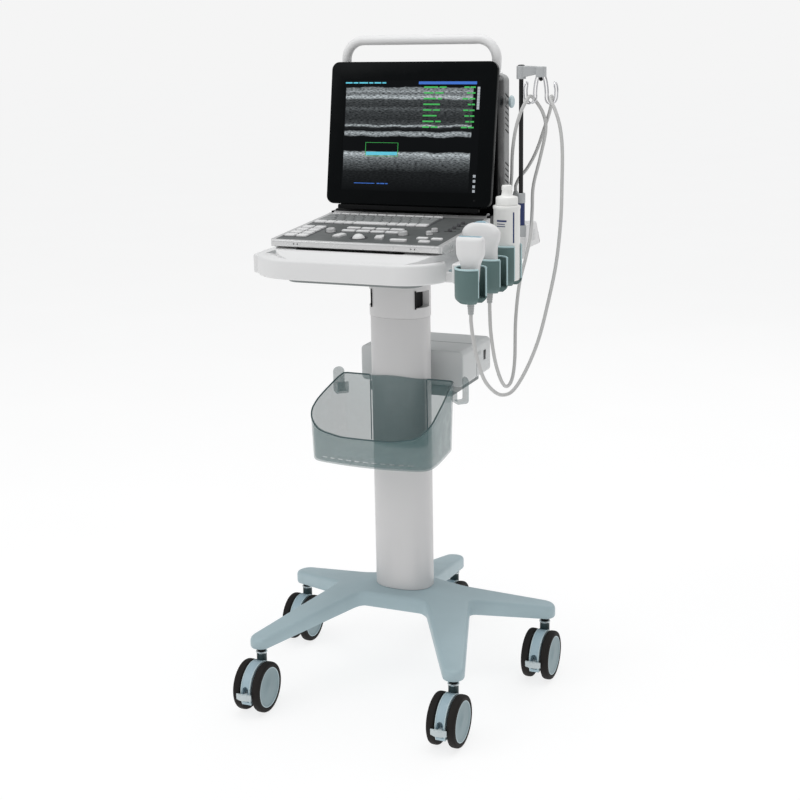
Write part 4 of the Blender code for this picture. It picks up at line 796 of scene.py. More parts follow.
def star_outline(tip_steps, soft_steps):
    """Outline of the base from above: five legs leaving a broad hub with straight front and rear walls."""
    order = sorted(LEG_HEADINGS, key=LEG_HEADINGS.get)
    points = []
    for index, label in enumerate(order):
        following = order[(index + 1) % len(order)]
        stem_x, stem_y = stem_place(label)
        heading = LEG_HEADINGS[label]
        tip = arc(stem_x, stem_y, LEG_TIP_HALF, heading - LEG_TIP_TURN, heading + LEG_TIP_TURN, tip_steps)
        points += [Vector(point) for point in tip]
        near, far = leg_side(label, 1), leg_side(following, -1)
        level = HUB_WALLS.get((label, following))
        if level is None:
            corners = [crossing(near, far)]
        else:
            wall = Vector((-1.0, level)), Vector((1.0, level))
            corners = [crossing(near, wall), crossing(wall, far)]
        chain = [near[0]] + corners + [far[0]]
        for step in range(1, len(chain) - 1):
            points += fillet(chain[step - 1], chain[step], chain[step + 1], soft_steps)
    return [tuple(point) for point in points]


def leg_top(point):
    """Height of the base's top over a floor point."""
    return min(HUB_TOP, LEG_CROWN_Z - LEG_SLOPE * math.hypot(point[0], point[1]))


def leg_floor(point):
    """Height of the base's underside over a floor point."""
    reach = math.hypot(point[0], point[1]) - HUB_RADIUS
    return max(LEG_BOTTOM, HUB_BOTTOM - FLOOR_SLOPE * max(0.0, reach))


def capped_loft(rings, low_pad, high_pad):
    """Closed body through equal rings, each end closed round a flat pad."""
    body, rows = banded(rings)
    count = len(rows[0])
    for row, pad in ((rows[0], low_pad), (rows[-1], high_pad)):
        inner = [body.verts.new(point) for point in pad]
        corners = row + inner
        edges = [(index, (index + 1) % count) for index in range(count)]
        edges += [(count + index, count + (index + 1) % len(pad)) for index in range(len(pad))]
        places = [Vector(corner.co[:2]) for corner in corners]
        found = geometry.delaunay_2d_cdt(places, edges, [], 1, TINY)
        for face in found[2]:
            body.faces.new([corners[found[3][index][0]] for index in face])
    bmesh.ops.recalc_face_normals(body, faces=body.faces)
    return body


def make_base():
    """Five-legged base: broad hub and soft-edged legs sloping down from it."""
    outline = star_outline(18, 10)
    rings = []
    for cut, rise in ((0.004, 0.0), (0.0012, 0.0010), (0.0, 0.004)):
        rings.append([(a, b, leg_floor((a, b)) + rise) for a, b in inset(outline, cut)])
    for cut, drop in ((0.0, 0.0085), (0.0005, 0.0055), (0.0018, 0.0029), (0.0038, 0.0011), (0.0060, 0.0003),
                      (0.0082, 0.0)):
        rings.append([(a, b, leg_top((a, b)) - drop) for a, b in inset(outline, cut)])
    under = [(a, b, HUB_BOTTOM) for a, b in circle(0.0, 0.0, PAD_RADIUS, 48)]
    foot = oval(0.0, COLUMN_CENTRE_Y, COLUMN_HALF_X + 0.0035, COLUMN_HALF_Y + 0.0035, COLUMN_POWER, 56)
    body = capped_loft(rings, under, [(a, b, HUB_TOP) for a, b in foot])
    piece("base_star_casting", body, "base_paint", "base_star")


def twin_rings(half):
    """The same ring turned on either side of a caster's middle."""
    return join([turned([(radius, side * reach) for radius, reach in half], ORIGIN, "x", WHEEL_STEPS, True)
                 for side in (-1, 1)])


def tyre_body():
    """Two soft-edged tyres."""
    half = ((0.0425, 0.0142), (0.0470, 0.0132), (0.0500, 0.0134), (0.0518, 0.0146), (0.0527, 0.0166),
            (WHEEL_RADIUS, 0.0195), (WHEEL_RADIUS, 0.0240), (0.0526, 0.0268), (0.0514, 0.0289),
            (0.0492, 0.0301), (0.0462, WHEEL_OUTER), (0.0440, 0.0303), (0.0425, 0.0292))
    return twin_rings(half)


def hub_body():
    """Two shallow hub discs joined by the axle."""
    half = ((0.0, 0.0291), (0.0095, 0.0291), (0.0105, 0.0284), (0.0330, 0.0279), (0.0385, 0.0284),
            (0.0400, 0.0290), (0.0424, 0.0290), (0.0424, 0.0146), (0.0100, 0.0146), (AXLE_RADIUS, 0.0136))
    profile = list(half) + [(radius, -reach) for radius, reach in half[::-1]]
    return turned(profile, ORIGIN, "x", WHEEL_STEPS)


def hub_rims():
    """Fine raised line round each hub disc."""
    half = ((0.0402, 0.0287), (0.0406, 0.0298), (0.0419, 0.0298), (0.0423, 0.0287))
    return twin_rings(half)


def pedal_matrix():
    """Turn from straight behind the axle to the pedal's own direction."""
    return Matrix.Rotation(math.radians(PEDAL_ANGLE), 4, "X")


def hood_window():
    """Arched opening through the hood where the pedal comes out."""
    arch = [(-0.0068, -0.014), (0.0068, -0.014)] + arc(0.0, 0.0130, 0.0068, 0, 180, 12)
    body = slab(arch, "y", 0.036, 0.08)
    body = turn_and_move(body, pedal_matrix() @ Matrix.Rotation(math.pi, 4, "Y"))
    return turn_and_move(body, Matrix.Translation((0.0, -CASTER_TRAIL, WHEEL_RADIUS)))


def hood_body():
    """Curved hood between the tyres, arched pedal opening cut through it."""
    web = arc(-CASTER_TRAIL, WHEEL_RADIUS, HOOD_RADIUS, HOOD_START, HOOD_END, 44)
    web += arc(-CASTER_TRAIL, WHEEL_RADIUS, WEB_RADIUS, HOOD_END + 12, HOOD_START + 348, 26)
    body = soft_slab(web, "x", -HOOD_HALF, HOOD_HALF, 0.0012)
    bore = rod((0.0, -CASTER_TRAIL, WHEEL_RADIUS), AXLE_RADIUS + 0.0006, -0.03, 0.03, "x", 32)
    return combine(body, [bore, hood_window()], "DIFFERENCE")


def hood_edges():
    """Raised lips along both long edges of the hood."""
    lips = []
    for side in (-1, 1):
        ends = sided(side, 0.0086, 0.0107)
        outer = arc(-CASTER_TRAIL, WHEEL_RADIUS, HOOD_RADIUS + 0.0009, HOOD_START + 3, HOOD_END - 1, 44)
        inner = arc(-CASTER_TRAIL, WHEEL_RADIUS, HOOD_RADIUS - 0.004, HOOD_END - 1, HOOD_START + 3, 44)
        lips.append(soft_slab(outer + inner, "x", ends[0], ends[1], 0.0007))
    return join(lips)


def tube_body():
    """Stem tube rising out of the hood."""
    profile = ((0.0, 0.0925), (TUBE_RADIUS, 0.0925), (TUBE_RADIUS, TUBE_TOP), (0.0, TUBE_TOP))
    return turned(profile, steps=STEM_STEPS)


def ring_body():
    """Bright ring on top of the stem tube."""
    profile = ((0.0, TUBE_TOP), (0.0113, TUBE_TOP), (0.0119, TUBE_TOP + 0.0008), (0.0119, TUBE_TOP + 0.0030),
               (0.0112, TUBE_TOP + 0.0038), (0.0, TUBE_TOP + 0.0038))
    return turned(profile, steps=STEM_STEPS)


def neck_body():
    """Black funnel between the ring and the leg."""
    low = TUBE_TOP + 0.0038
    profile = ((0.0, low), (0.0088, low), (0.0092, low + 0.004), (0.0106, low + 0.007), (0.0128, 0.1306),
               (STEM_RADIUS, 0.1306), (STEM_RADIUS, STEM_TOP), (0.0, STEM_TOP))
    return turned(profile, steps=STEM_STEPS)


def pedal_body():
    """Brake pedal: arm out of the hood ending in a faceted cross bar."""
    arm = soft_block((-0.0045, 0.0370, -0.0042), (0.0045, 0.0590, 0.0042), 0.0015, 0.001)
    bar = [(-0.0168, 0.0568), (0.0168, 0.0568), (0.0168, 0.0592), (0.0062, 0.0640), (-0.0062, 0.0640),
           (-0.0168, 0.0592)]
    body = combine(arm, [soft_slab(bar, "z", -0.0080, 0.0050, 0.0010)], "UNION")
    return turn_and_move(body, pedal_matrix())


def make_casters():
    """Five casters of shared meshes on their swivel, wheel and pedal bodies."""
    fork = [("hood", hood_body(), "hood_blue"), ("hood_lips", hood_edges(), "rim_pale"),
            ("stem_tube", tube_body(), "tube_teal"), ("stem_ring", ring_body(), "ring_bright"),
            ("stem_neck", neck_body(), "neck_black")]
    wheels = [("tyres", tyre_body(), "tyre"), ("hubs", hub_body(), "hub_grey"),
              ("hub_rims", hub_rims(), "rim_pale")]
    fork, wheels = ([(name, piece_mesh("caster_" + name, body, look), look) for name, body, look in group]
                    for group in (fork, wheels))
    pedal = piece_mesh("brake_pedal", pedal_body(), "pedal")
    for label in LEG_ANGLES:
        stem_x, stem_y = stem_place(label)
        axle = (stem_x, stem_y - CASTER_TRAIL, WHEEL_RADIUS)
        for group, node_name, body, place in ((fork, "caster_fork_", "swivel_", (stem_x, stem_y, 0.0)),
                                              (wheels, "caster_wheels_", "wheels_", axle)):
            for index, (name, mesh, look) in enumerate(group):
                stands = node_name + label if index == 0 else ()
                piece("caster_%s_%s" % (name, label), mesh, look, stands, body + label, place)
        piece("pedal_" + label, pedal, "pedal", "brake_pedal_" + label, "pedal_" + label, axle)


# ------------------------------------------------------------------ column
def make_column():
    """Oval column in two lengths, openings in the upper cover's sides, a dark plate at each floor painting
    the shade inside.
    """
    outline = oval(0.0, COLUMN_CENTRE_Y, COLUMN_HALF_X, COLUMN_HALF_Y, COLUMN_POWER, 96)
    piece("column_tube", soft_slab(outline, "z", HUB_TOP + GAP, SEAM_Z, 0.0012), "column_satin", "column")
    cover = soft_slab(inset(outline, -0.0015), "z", SEAM_Z + GAP, COLUMN_TOP, 0.0012)
    notches, shade_plates = [], []
    for side in (-1, 1):
        ends = sided(side, 0.050, 0.08)
        notches.append(soft_block((ends[0], -0.024, 0.822), (ends[1], 0.012, 0.856), 0.004, 0.0, "x"))
        # dark plate at each opening's floor: painted shade for the inside of the opening
        ends = sided(side, 0.0485, 0.0505)
        shade_plates.append(block((ends[0], -0.026, 0.820), (ends[1], 0.014, 0.858)))
    piece("column_cover_shell", combine(cover, [join(notches)], "DIFFERENCE"), "column_satin", "column_cover")
    piece("column_opening_painted_shade", join(shade_plates), "painted_gap_shade")


# ------------------------------------------------------------------ basket
def basket_plan(scale, front):
    """Basket outline: bowed front, straight rear to either side, a bay round the column."""
    side = [(0.1275, -0.017), (0.1325, -0.055), (0.1375, -0.098), (0.1392, -0.128), (0.1375, -0.148),
            (0.1290, -0.1625), (0.1100, front + 0.0115), (0.0750, front + 0.0055), (0.0380, front + 0.0014),
            (0.0, front)]
    half = fair(side, 4)
    points = [(-a * scale, b) for a, b in half] + [(a * scale, b) for a, b in half[-2::-1]]
    corner = 0.1275 * scale
    points += arc(corner - 0.012, BASKET_REAR - 0.012, 0.012, 8, 90, 6)
    bay = oval(0.0, COLUMN_CENTRE_Y, COLUMN_HALF_X + 0.0016, COLUMN_HALF_Y + 0.0016, COLUMN_POWER, 96)
    bay = sorted((point for point in bay if point[1] < BASKET_REAR - 0.002), reverse=True)
    points += [(0.0640, BASKET_REAR)] + bay + [(-0.0640, BASKET_REAR)]
    return points + arc(-corner + 0.012, BASKET_REAR - 0.012, 0.012, 90, 172, 6)


BASKET_LOW = (0.955, -0.183)
BASKET_HIGH = (1.0, -0.1835)
BAY_CROWN = 0.0095              # rise of the rim in front of the column
RIM_LINE = ((-0.25, 0.580), (-0.179, 0.5805), (-0.172, 0.588), (-0.163, 0.6035), (-0.153, 0.6150),
            (-0.138, 0.6265), (-0.115, 0.6375), (-0.090, 0.6465), (-0.060, 0.6565), (-0.035, 0.6650),
            (-0.015, 0.6695), (0.0, 0.6705), (0.10, 0.6705))


def rim_height(y):
    """Height of the basket's rim at a distance from the front."""
    for (first, low), (second, high) in zip(RIM_LINE, RIM_LINE[1:]):
        if first <= y <= second:
            return low + (high - low) * (y - first) / (second - first)
    return RIM_LINE[-1][1]


def basket_shell(depth):
    """Tapered tub body, shrunk inwards by the given depth."""
    low, high = basket_plan(*BASKET_LOW), basket_plan(*BASKET_HIGH)
    top = BASKET_CREST + BAY_CROWN + (0.02 if depth else 0.0)
    rings = []
    for cut, rise in ((0.005, 0.0), (0.0018, 0.0012), (0.0, 0.005)):
        rings.append([(a, b, BASKET_BOTTOM + depth + rise) for a, b in inset(low, cut + depth)])
    rings.append([(a, b, top) for a, b in inset(high, depth)])
    return loft(rings)


def cable_hook(side):
    """Upright hook standing off a rear corner of the basket."""
    profile = [(-0.003, 0.630), (-0.0005, 0.6255), (0.003, 0.624), (0.0210, 0.624), (0.0250, 0.6255),
               (0.0270, 0.630), (0.0270, 0.674), (0.0262, 0.6775), (0.0245, HOOK_TOP), (0.0235, 0.6775),
               (0.0230, 0.674), (0.0230, 0.632), (0.0215, 0.629), (0.0030, 0.629), (0.001, 0.632),
               (0.001, 0.650), (-0.003, 0.650)]
    body = soft_slab(profile, "y", -0.0125, 0.0125, 0.0009)
    tongue = rounded_rect(-0.0125, 0.0125, 0.60, HOOK_TOP, (0.001, 0.001, 0.0122, 0.0122))
    body = combine(body, [slab(tongue, "x", -0.05, 0.05)], "INTERSECT")
    place = Matrix.Translation((side * 0.1275, BASKET_REAR - 0.0045, 0.0))
    return turn_and_move(body, place @ Matrix.Rotation(math.radians(90 - side * 45), 4, "Z"))


def rim_bead():
    """Rounded bead that follows the basket's rim from one rear corner round the front to the other."""
    low, high = basket_plan(*BASKET_LOW), basket_plan(*BASKET_HIGH)
    low, high = inset(low, BASKET_WALL / 2), inset(high, BASKET_WALL / 2)
    path = []
    for first, second in list(zip(low, high))[:80]:
        top = rim_height(second[1])
        share = (top - BASKET_BOTTOM) / (BASKET_CREST - BASKET_BOTTOM)
        path.append((first[0] + (second[0] - first[0]) * share, first[1] + (second[1] - first[1]) * share,
                     top))
    rear = BASKET_REAR - 0.0012
    path = [(-BAY_HALF, rear, BASKET_CREST), (-0.117, rear, BASKET_CREST),
            (-0.1245, -0.0105, BASKET_CREST)] + path
    path += [(BAY_HALF, rear, BASKET_CREST)]
    return swept(path, [0.0016] * len(path), 12)


def make_basket():
    """Open smoked basket with a rim rising to the rear, slots and two cable hooks."""
    basket_material()
    rim = list(RIM_LINE) + [(0.10, CUT_TOP), (-0.25, CUT_TOP)]
    crown = [(-0.2, BASKET_CREST), (-BAY_HALF, BASKET_CREST)]
    crown += [(a / 10, BASKET_CREST + BAY_CROWN * (1 - (a / 0.66) ** 2)) for a in
              [-0.55 + 0.11 * index for index in range(11)]]
    crown += [(BAY_HALF, BASKET_CREST), (0.2, BASKET_CREST), (0.2, CUT_TOP), (-0.2, CUT_TOP)]
    cuts = [basket_shell(BASKET_WALL), slab(rim, "x", -0.2, -BAY_HALF), slab(rim, "x", BAY_HALF, 0.2),
            slab(list(RIM_LINE[:9]) + [(-0.06, CUT_TOP), (-0.25, CUT_TOP)], "x", -0.07, 0.07),
            slab(crown, "y", -0.07, 0.1)]
    body = combine(basket_shell(0.0), cuts, "DIFFERENCE")
    slots = []
    for row in range(5):
        for column in range(13):
            centre_x, centre_y = -0.084 + 0.014 * column, -0.150 + 0.022 * row
            slots.append(rod((centre_x, centre_y, 0.0), 0.003, BASKET_BOTTOM - 0.01, BASKET_BOTTOM + 0.01,
                             steps=12))
    for index in range(11):
        centre_x = -0.095 + 0.019 * index
        slots.append(block((centre_x - 0.006, -0.2, 0.5315), (centre_x + 0.006, -0.150, 0.5345)))
    body = combine(body, [join(slots)], "DIFFERENCE")
    piece("basket_tub", body, "basket_smoke", "basket")
    piece("basket_rim_bead", rim_bead(), "basket_edge")
    ribs = [rod((side * 0.0645, BASKET_REAR - 0.0012, 0.0), 0.0011, BASKET_BOTTOM + 0.008,
                BASKET_CREST - 0.001) for side in (-1, 1)]
    piece("basket_bay_ribs", join(ribs), "basket_edge")
    piece("basket_hooks", join([cable_hook(-1), cable_hook(1)]), "basket_smoke")


# ------------------------------------------------------------------ power box
def make_power_box():
    """Supply box behind the column on its cradle, with a rocker on the right side."""
    body = soft_block((-BOX_HALF, BOX_FRONT, BOX_BOTTOM), (BOX_HALF, BOX_REAR, BOX_TOP), 0.010, 0.003, "y")
    cuts = [block((BOX_HALF - 0.003, 0.192, 0.672), (BOX_HALF + 0.01, 0.206, 0.694))]
    for index in range(9):
        level = 0.132 + index * 0.005
        cuts.append(block((BOX_HALF - 0.002, level, 0.690), (BOX_HALF + 0.01, level + 0.0022, 0.698)))
    for side in (-1, 1):
        for index in range(6):
            ends = sided(side, 0.030 + index * 0.008, 0.033 + index * 0.008)
            cuts.append(block((ends[0], BOX_REAR - 0.0015, 0.660), (ends[1], BOX_REAR + 0.01, 0.696)))
    piece("power_box_case", combine(body, [join(cuts)], "DIFFERENCE"), "box_grey", "power_box")
    seam = soft_block((-BOX_HALF - 0.0004, 0.148, BOX_BOTTOM - 0.0002),
                      (BOX_HALF + 0.0004, 0.1492, BOX_TOP + 0.0004), 0.010, 0.0, "y")
    piece("power_box_seam", seam, "under_grey")
    cradle = soft_block((-0.096, COLUMN_CENTRE_Y + COLUMN_HALF_Y + GAP, 0.620),
                        (0.096, 0.225, BOX_BOTTOM - GAP), 0.006, 0.003)
    piece("power_cradle_plate", cradle, "under_grey", "power_box_cradle")
    pivot_x = BOX_HALF - 0.0022
    rocker = [(pivot_x - 0.0003, 0.6735), (pivot_x + 0.0022, 0.6735), (pivot_x + 0.0005, 0.683),
              (pivot_x + 0.0036, 0.6915), (pivot_x + 0.0017, 0.6925)]
    rocker = soft_slab(hull(rocker), "y", 0.1927, 0.2053, 0.0004)
    piece("power_rocker", rocker, "switch_black", "power_switch", "power_switch")


# ------------------------------------------------------------------ tray
def make_tray():
    """Tray: soft front lip, raised dock, finger recess and rail along either side."""
    plate = soft_block((-0.140, -0.238, PLATE_BOTTOM), (0.140, 0.150, TRAY_BOTTOM - GAP), 0.03, 0.0025)
    piece("tray_under_panel", plate, "under_grey", "tray_underplate")
    lip_plan = rounded_rect(-0.2245, 0.186, TRAY_FRONT, TRAY_REAR, (0.105, 0.085, 0.02, 0.02), 18)
    lip = soft_slab(lip_plan, "z", TRAY_BOTTOM, TRAY_RIM, 0.006, 0.004)
    shelf = soft_block((0.170, -0.196, TRAY_BOTTOM), (0.205, TRAY_REAR - 0.03, 0.9325), 0.008, 0.003)
    dock_side = [(-0.258, 0.930), (TRAY_REAR, 0.930), (TRAY_REAR, DOCK_Z), (-0.214, DOCK_Z),
                 (-0.222, 0.9634), (-0.250, 0.9530), (-0.256, 0.950)]
    dock_plan = rounded_rect(-DOCK_HALF, DOCK_HALF, -0.2575, TRAY_REAR, (0.085, 0.085, 0.01, 0.01), 16)
    dock = combine(slab(dock_side, "x", -0.19, 0.19), [slab(dock_plan, "z", 0.925, 0.97)], "INTERSECT")
    rails, wells = [], []
    for side in (-1, 1):
        ends = sided(side, 0.198, RAIL_OUTER)
        rails.append(soft_block((ends[0], -0.205, TRAY_BOTTOM), (ends[1], 0.150, 0.950), 0.006, 0.004))
        well = [(side * (DOCK_HALF + GAP), 0.946), (side * 0.184, 0.935), (side * 0.1995, 0.930),
                (side * 0.1995, 1.0), (side * (DOCK_HALF + GAP), 1.0)]
        wells.append(slab(hull(well), "y", -0.196, 0.140))
    body = combine(lip, [dock, shelf] + rails, "UNION")
    scoops = []
    for cup_y in (LINEAR_CUP_Y, CONVEX_CUP_Y, BOTTLE_CUP_Y):
        scoops.append(rod((CUP_X, cup_y, 0.0), CUP_RADIUS + GAP + 0.0004, 0.86, 1.0, steps=64))
    scoops.append(rod((POLE_X, POLE_Y, 0.0), SOCKET_RADIUS + GAP + 0.0003, 0.86, 1.0, steps=48))
    piece("tray_moulding", combine(body, wells + scoops, "DIFFERENCE"), "tray_white", "tray")
    # grey plates on the finger recesses' floors: painted shade cast by the recesses' walls
    beds = []
    for side in (-1, 1):
        ends = sided(side, 0.1865, 0.1990)
        beds.append(soft_block((ends[0], -0.190, 0.9312), (ends[1], 0.134, 0.9345), 0.004, 0.0008))
    piece("finger_recess_painted_shade", join(beds), "hub_grey")
    # painted shadow: thin near-black plate on the dock where the keyboard's front edge shadows it
    slot = soft_slab(rounded_rect(-0.126, 0.104, -0.2137, -0.200, (0.006,) * 4), "z", DOCK_Z - 0.001,
                     DOCK_Z + 0.0012, 0.0004)
    piece("keyboard_front_painted_shadow", slot, "painted_gap_shade")


# ------------------------------------------------------------------ cups
def cup_outer(share, height):
    """Outer radius of a cup at a share of its height: tucked in at the foot, straight above."""
    rise = share * height
    if rise >= CUP_TUCK_HEIGHT:
        return CUP_RADIUS
    return CUP_RADIUS - CUP_TUCK * (1 - math.sin(math.pi / 2 * rise / CUP_TUCK_HEIGHT))


def cup_body(centre_y, rim):
    """Open holder with a slot facing outwards and a rounded bottom round a hole."""
    start, end = CUP_SLOT_TURN + CUP_SLOT_HALF, CUP_SLOT_TURN + 360 - CUP_SLOT_HALF
    inner = CUP_RADIUS - CUP_WALL
    levels = []
    for step in range(9):
        share = step / 8 * 0.0084 / (rim - CUP_BOTTOM)
        levels.append((CUP_BOTTOM + share * (rim - CUP_BOTTOM), cup_outer(share, rim - CUP_BOTTOM), CUP_HOLE))
    levels += [(CUP_FLOOR, cup_outer(0.0085 / (rim - CUP_BOTTOM), rim - CUP_BOTTOM), inner),
               (CUP_FLOOR + 0.004, CUP_RADIUS, inner), (rim - 0.004, CUP_RADIUS, inner),
               (rim - 0.0036, CUP_RADIUS - 0.0003, inner + 0.0003)]
    rings = []
    for level, outer_radius, inner_radius in levels:
        ring = arc(CUP_X, centre_y, outer_radius, start, end, CUP_STEPS)
        ring += arc(CUP_X, centre_y, inner_radius, end, start, CUP_STEPS)
        rings.append([(a, b, level) for a, b in ring])
    return loft(rings)


def cup_rim_highlight(centre_y, rim):
    """Rounded lip on top of a cup, open at the slot, pale with a painted highlight."""
    centre = CUP_RADIUS - CUP_WALL / 2
    path = [(a, b, rim - 0.0021) for a, b in arc(CUP_X, centre_y, centre, CUP_SLOT_TURN + CUP_SLOT_HALF,
                                             CUP_SLOT_TURN + 360 - CUP_SLOT_HALF, 64)]
    return swept(path, [0.0020] * len(path), 12)


def slot_lips(centre_y, rim):
    """Upright edges along both sides of a cup's slot, pale with a painted highlight."""
    lips = []
    for angle in (CUP_SLOT_TURN + CUP_SLOT_HALF, CUP_SLOT_TURN - CUP_SLOT_HALF):
        reach = CUP_RADIUS - CUP_WALL / 2
        at = (CUP_X + reach * math.cos(math.radians(angle)), centre_y + reach * math.sin(math.radians(angle)))
        path = [(at[0], at[1], CUP_BOTTOM + 0.013 + (rim - 0.0155 - CUP_BOTTOM) * step / 12)
                for step in range(13)]
        lips.append(swept(path, [0.0017] * len(path), 12))
    return lips


def make_cups():
    """Two probe cups and the gel bottle's cup along the right rail."""
    places = (("probe_cup_front", LINEAR_CUP_Y, TRAY_RIM), ("probe_cup_rear", CONVEX_CUP_Y, TRAY_RIM),
              ("bottle_cup", BOTTLE_CUP_Y, BOTTLE_CUP_RIM))
    for name, centre_y, rim in places:
        piece(name + "_wall", cup_body(centre_y, rim), "cup_teal", name)
        piece(name + "_rim", join([cup_rim_highlight(centre_y, rim)] + slot_lips(centre_y, rim)), "cup_rim_highlight")


# ------------------------------------------------------------------ keyboard
def deck_matrix():
    """Transform from the sloping deck's own axes to the machine's."""
    return Matrix.Translation((0.0, DECK_ORIGIN_Y, DECK_ORIGIN_Z)) @ Matrix.Rotation(DECK_SLOPE, 4, "X")


def on_deck(body):
    """A body drawn on the deck put in place."""
    return turn_and_move(body, deck_matrix())


def arch_outline(place, inner, outer, middle, spread):
    """Curved key that wraps round a centre on one side."""
    points = arc(*place, outer, middle - spread, middle + spread, 2 * CORNER_STEPS)
    return points + arc(*place, inner, middle + spread, middle - spread, 2 * CORNER_STEPS)


def typing_keys():
    """Outlines of the function row and the four typing rows."""
    outlines = []
    for index in range(12):
        left = KEYS_LEFT + index * KEY_PITCH
        outlines.append((left, left + KEY_PITCH - KEY_GAP, -0.040, -0.033))
    for near, widths in ((-0.065, (1,) * 12), (-0.086, (1.4,) + (1,) * 9 + (1.6,)),
                         (-0.107, (1.7,) + (1,) * 9 + (1.3,)), (-0.128, (1.2, 1, 1, 1, 3.6, 1, 1, 1, 1.2))):
        left = KEYS_LEFT
        for width in widths:
            outlines.append((left, left + width * KEY_PITCH - KEY_GAP, near, near + KEY_PITCH - KEY_GAP))
            left += width * KEY_PITCH
    return outlines


def panel_keys():
    """Outlines of the measuring and menu keys near the front of the deck."""
    outlines = []
    for row in range(4):
        for column in range(2):
            left, near = KEYS_LEFT + column * 0.026, -0.262 + row * 0.026
            outlines.append((left, left + 0.022, near, near + 0.020))
    for row in range(2):
        for index in range(4):
            left, near = -0.070 + index * 0.0315, -0.200 + row * 0.026
            outlines.append((left, left + 0.028, near, near + 0.012))
    for left, near in ((0.108, -0.240), (0.139, -0.242), (0.123, -0.268)):
        outlines.append((left, left + 0.022, near, near + 0.012))
    return outlines


def keycap(outline, radius=0.0018):
    """One key: rounded plan, drafted sides and a soft top edge."""
    low_a, high_a, low_b, high_b = outline
    plan = rounded_rect(low_a, high_a, low_b, high_b, (radius,) * 4, 3)
    levels = ((0.0, 0.0), (0.0, KEY_RISE * 0.6), (0.0004, KEY_RISE - 0.0003), (0.0010, KEY_RISE))
    return loft([[(a, b, level) for a, b in inset(plan, cut)] for cut, level in levels])


def moving_key_outlines():
    """Outlines of the keys that travel by themselves."""
    return {
        "set_key_left": arch_outline(BALL_PLACE, 0.040, 0.056, 166, 15),
        "set_key_right": arch_outline(BALL_PLACE, 0.034, 0.050, 14, 16),
        "freeze_key": rounded_rect(FREEZE_PLACE[0] - 0.019, FREEZE_PLACE[0] + 0.014,
                                   FREEZE_PLACE[1] - 0.006, FREEZE_PLACE[1] + 0.006, (0.003,) * 4),
    }


def make_keyboard_case():
    """Wedge-shaped keyboard case with the hinge barrel along its rear edge."""
    side = [(-0.190, KEYBOARD_BOTTOM), (0.066, KEYBOARD_BOTTOM), (0.0735, KEYBOARD_BOTTOM + 0.004)]
    side += arc(HINGE_Y, HINGE_Z, BARREL_RADIUS, -75, 120, 30)
    side += [(0.0585, 1.0003), (-0.2080, 0.9823), (-0.2103, 0.9818), (-0.2119, 0.9806), (-0.2126, 0.9790),
             (KEYBOARD_FRONT, 0.9770), (KEYBOARD_FRONT, 0.9715), (-0.2122, 0.9697), (-0.2105, 0.9686),
             (-0.194, 0.9685)]
    body = soft_slab(side, "x", -KEYBOARD_HALF, KEYBOARD_HALF, 0.0012)
    plan = rounded_rect(-KEYBOARD_HALF, KEYBOARD_HALF, KEYBOARD_FRONT, 0.12, (0.01, 0.01, 0.002, 0.002), 10)
    body = combine(body, [slab(plan, "z", 0.9, 1.1)], "INTERSECT")
    recess = on_deck(block((-DECK_HALF, DECK_NEAR, -DECK_DEPTH), (DECK_HALF, DECK_FAR, 0.01), 0.004))
    well = on_deck(rod((*BALL_PLACE, 0.0), BALL_RADIUS + 0.0008, -BALL_SINK - BALL_RADIUS - 0.0004, 0.01,
                       steps=BALL_STEPS))
    cuts = [recess, well]
    for end in (-1, 1):
        ends = sorted((end * 0.1715, end * 0.2))
        cuts.append(block((ends[0], 0.0600, 0.96), (ends[1], 0.10, 1.02)))
        for offset in (0.120, 0.128):
            cuts.append(rod((end * offset, 0.0, 0.9750), 0.0016, -0.215, -0.208, "y", 12))
    body = combine(body, cuts, "DIFFERENCE")
    piece("keyboard_wedge", body, "case_silver", "keyboard_case", "keyboard")
    barrel = rod((0.0, HINGE_Y, HINGE_Z), BARREL_RADIUS + 0.0004, -0.1700, 0.1700, "x", 64)
    piece("hinge_barrel_sleeve", barrel, "hinge_black", (), "keyboard")


def deck_piece(name, body, look, stands_for=()):
    """Piece drawn on the deck and moving with the keyboard."""
    return piece(name, on_deck(body), look, stands_for, "keyboard")


def deck_well(low_a, high_a, low_b, high_b):
    """Thin dark bed under a group of keys."""
    plan = rounded_rect(low_a, high_a, low_b, high_b, (0.003,) * 4, 4)
    return slab(plan, "z", -0.0004, 0.00035)


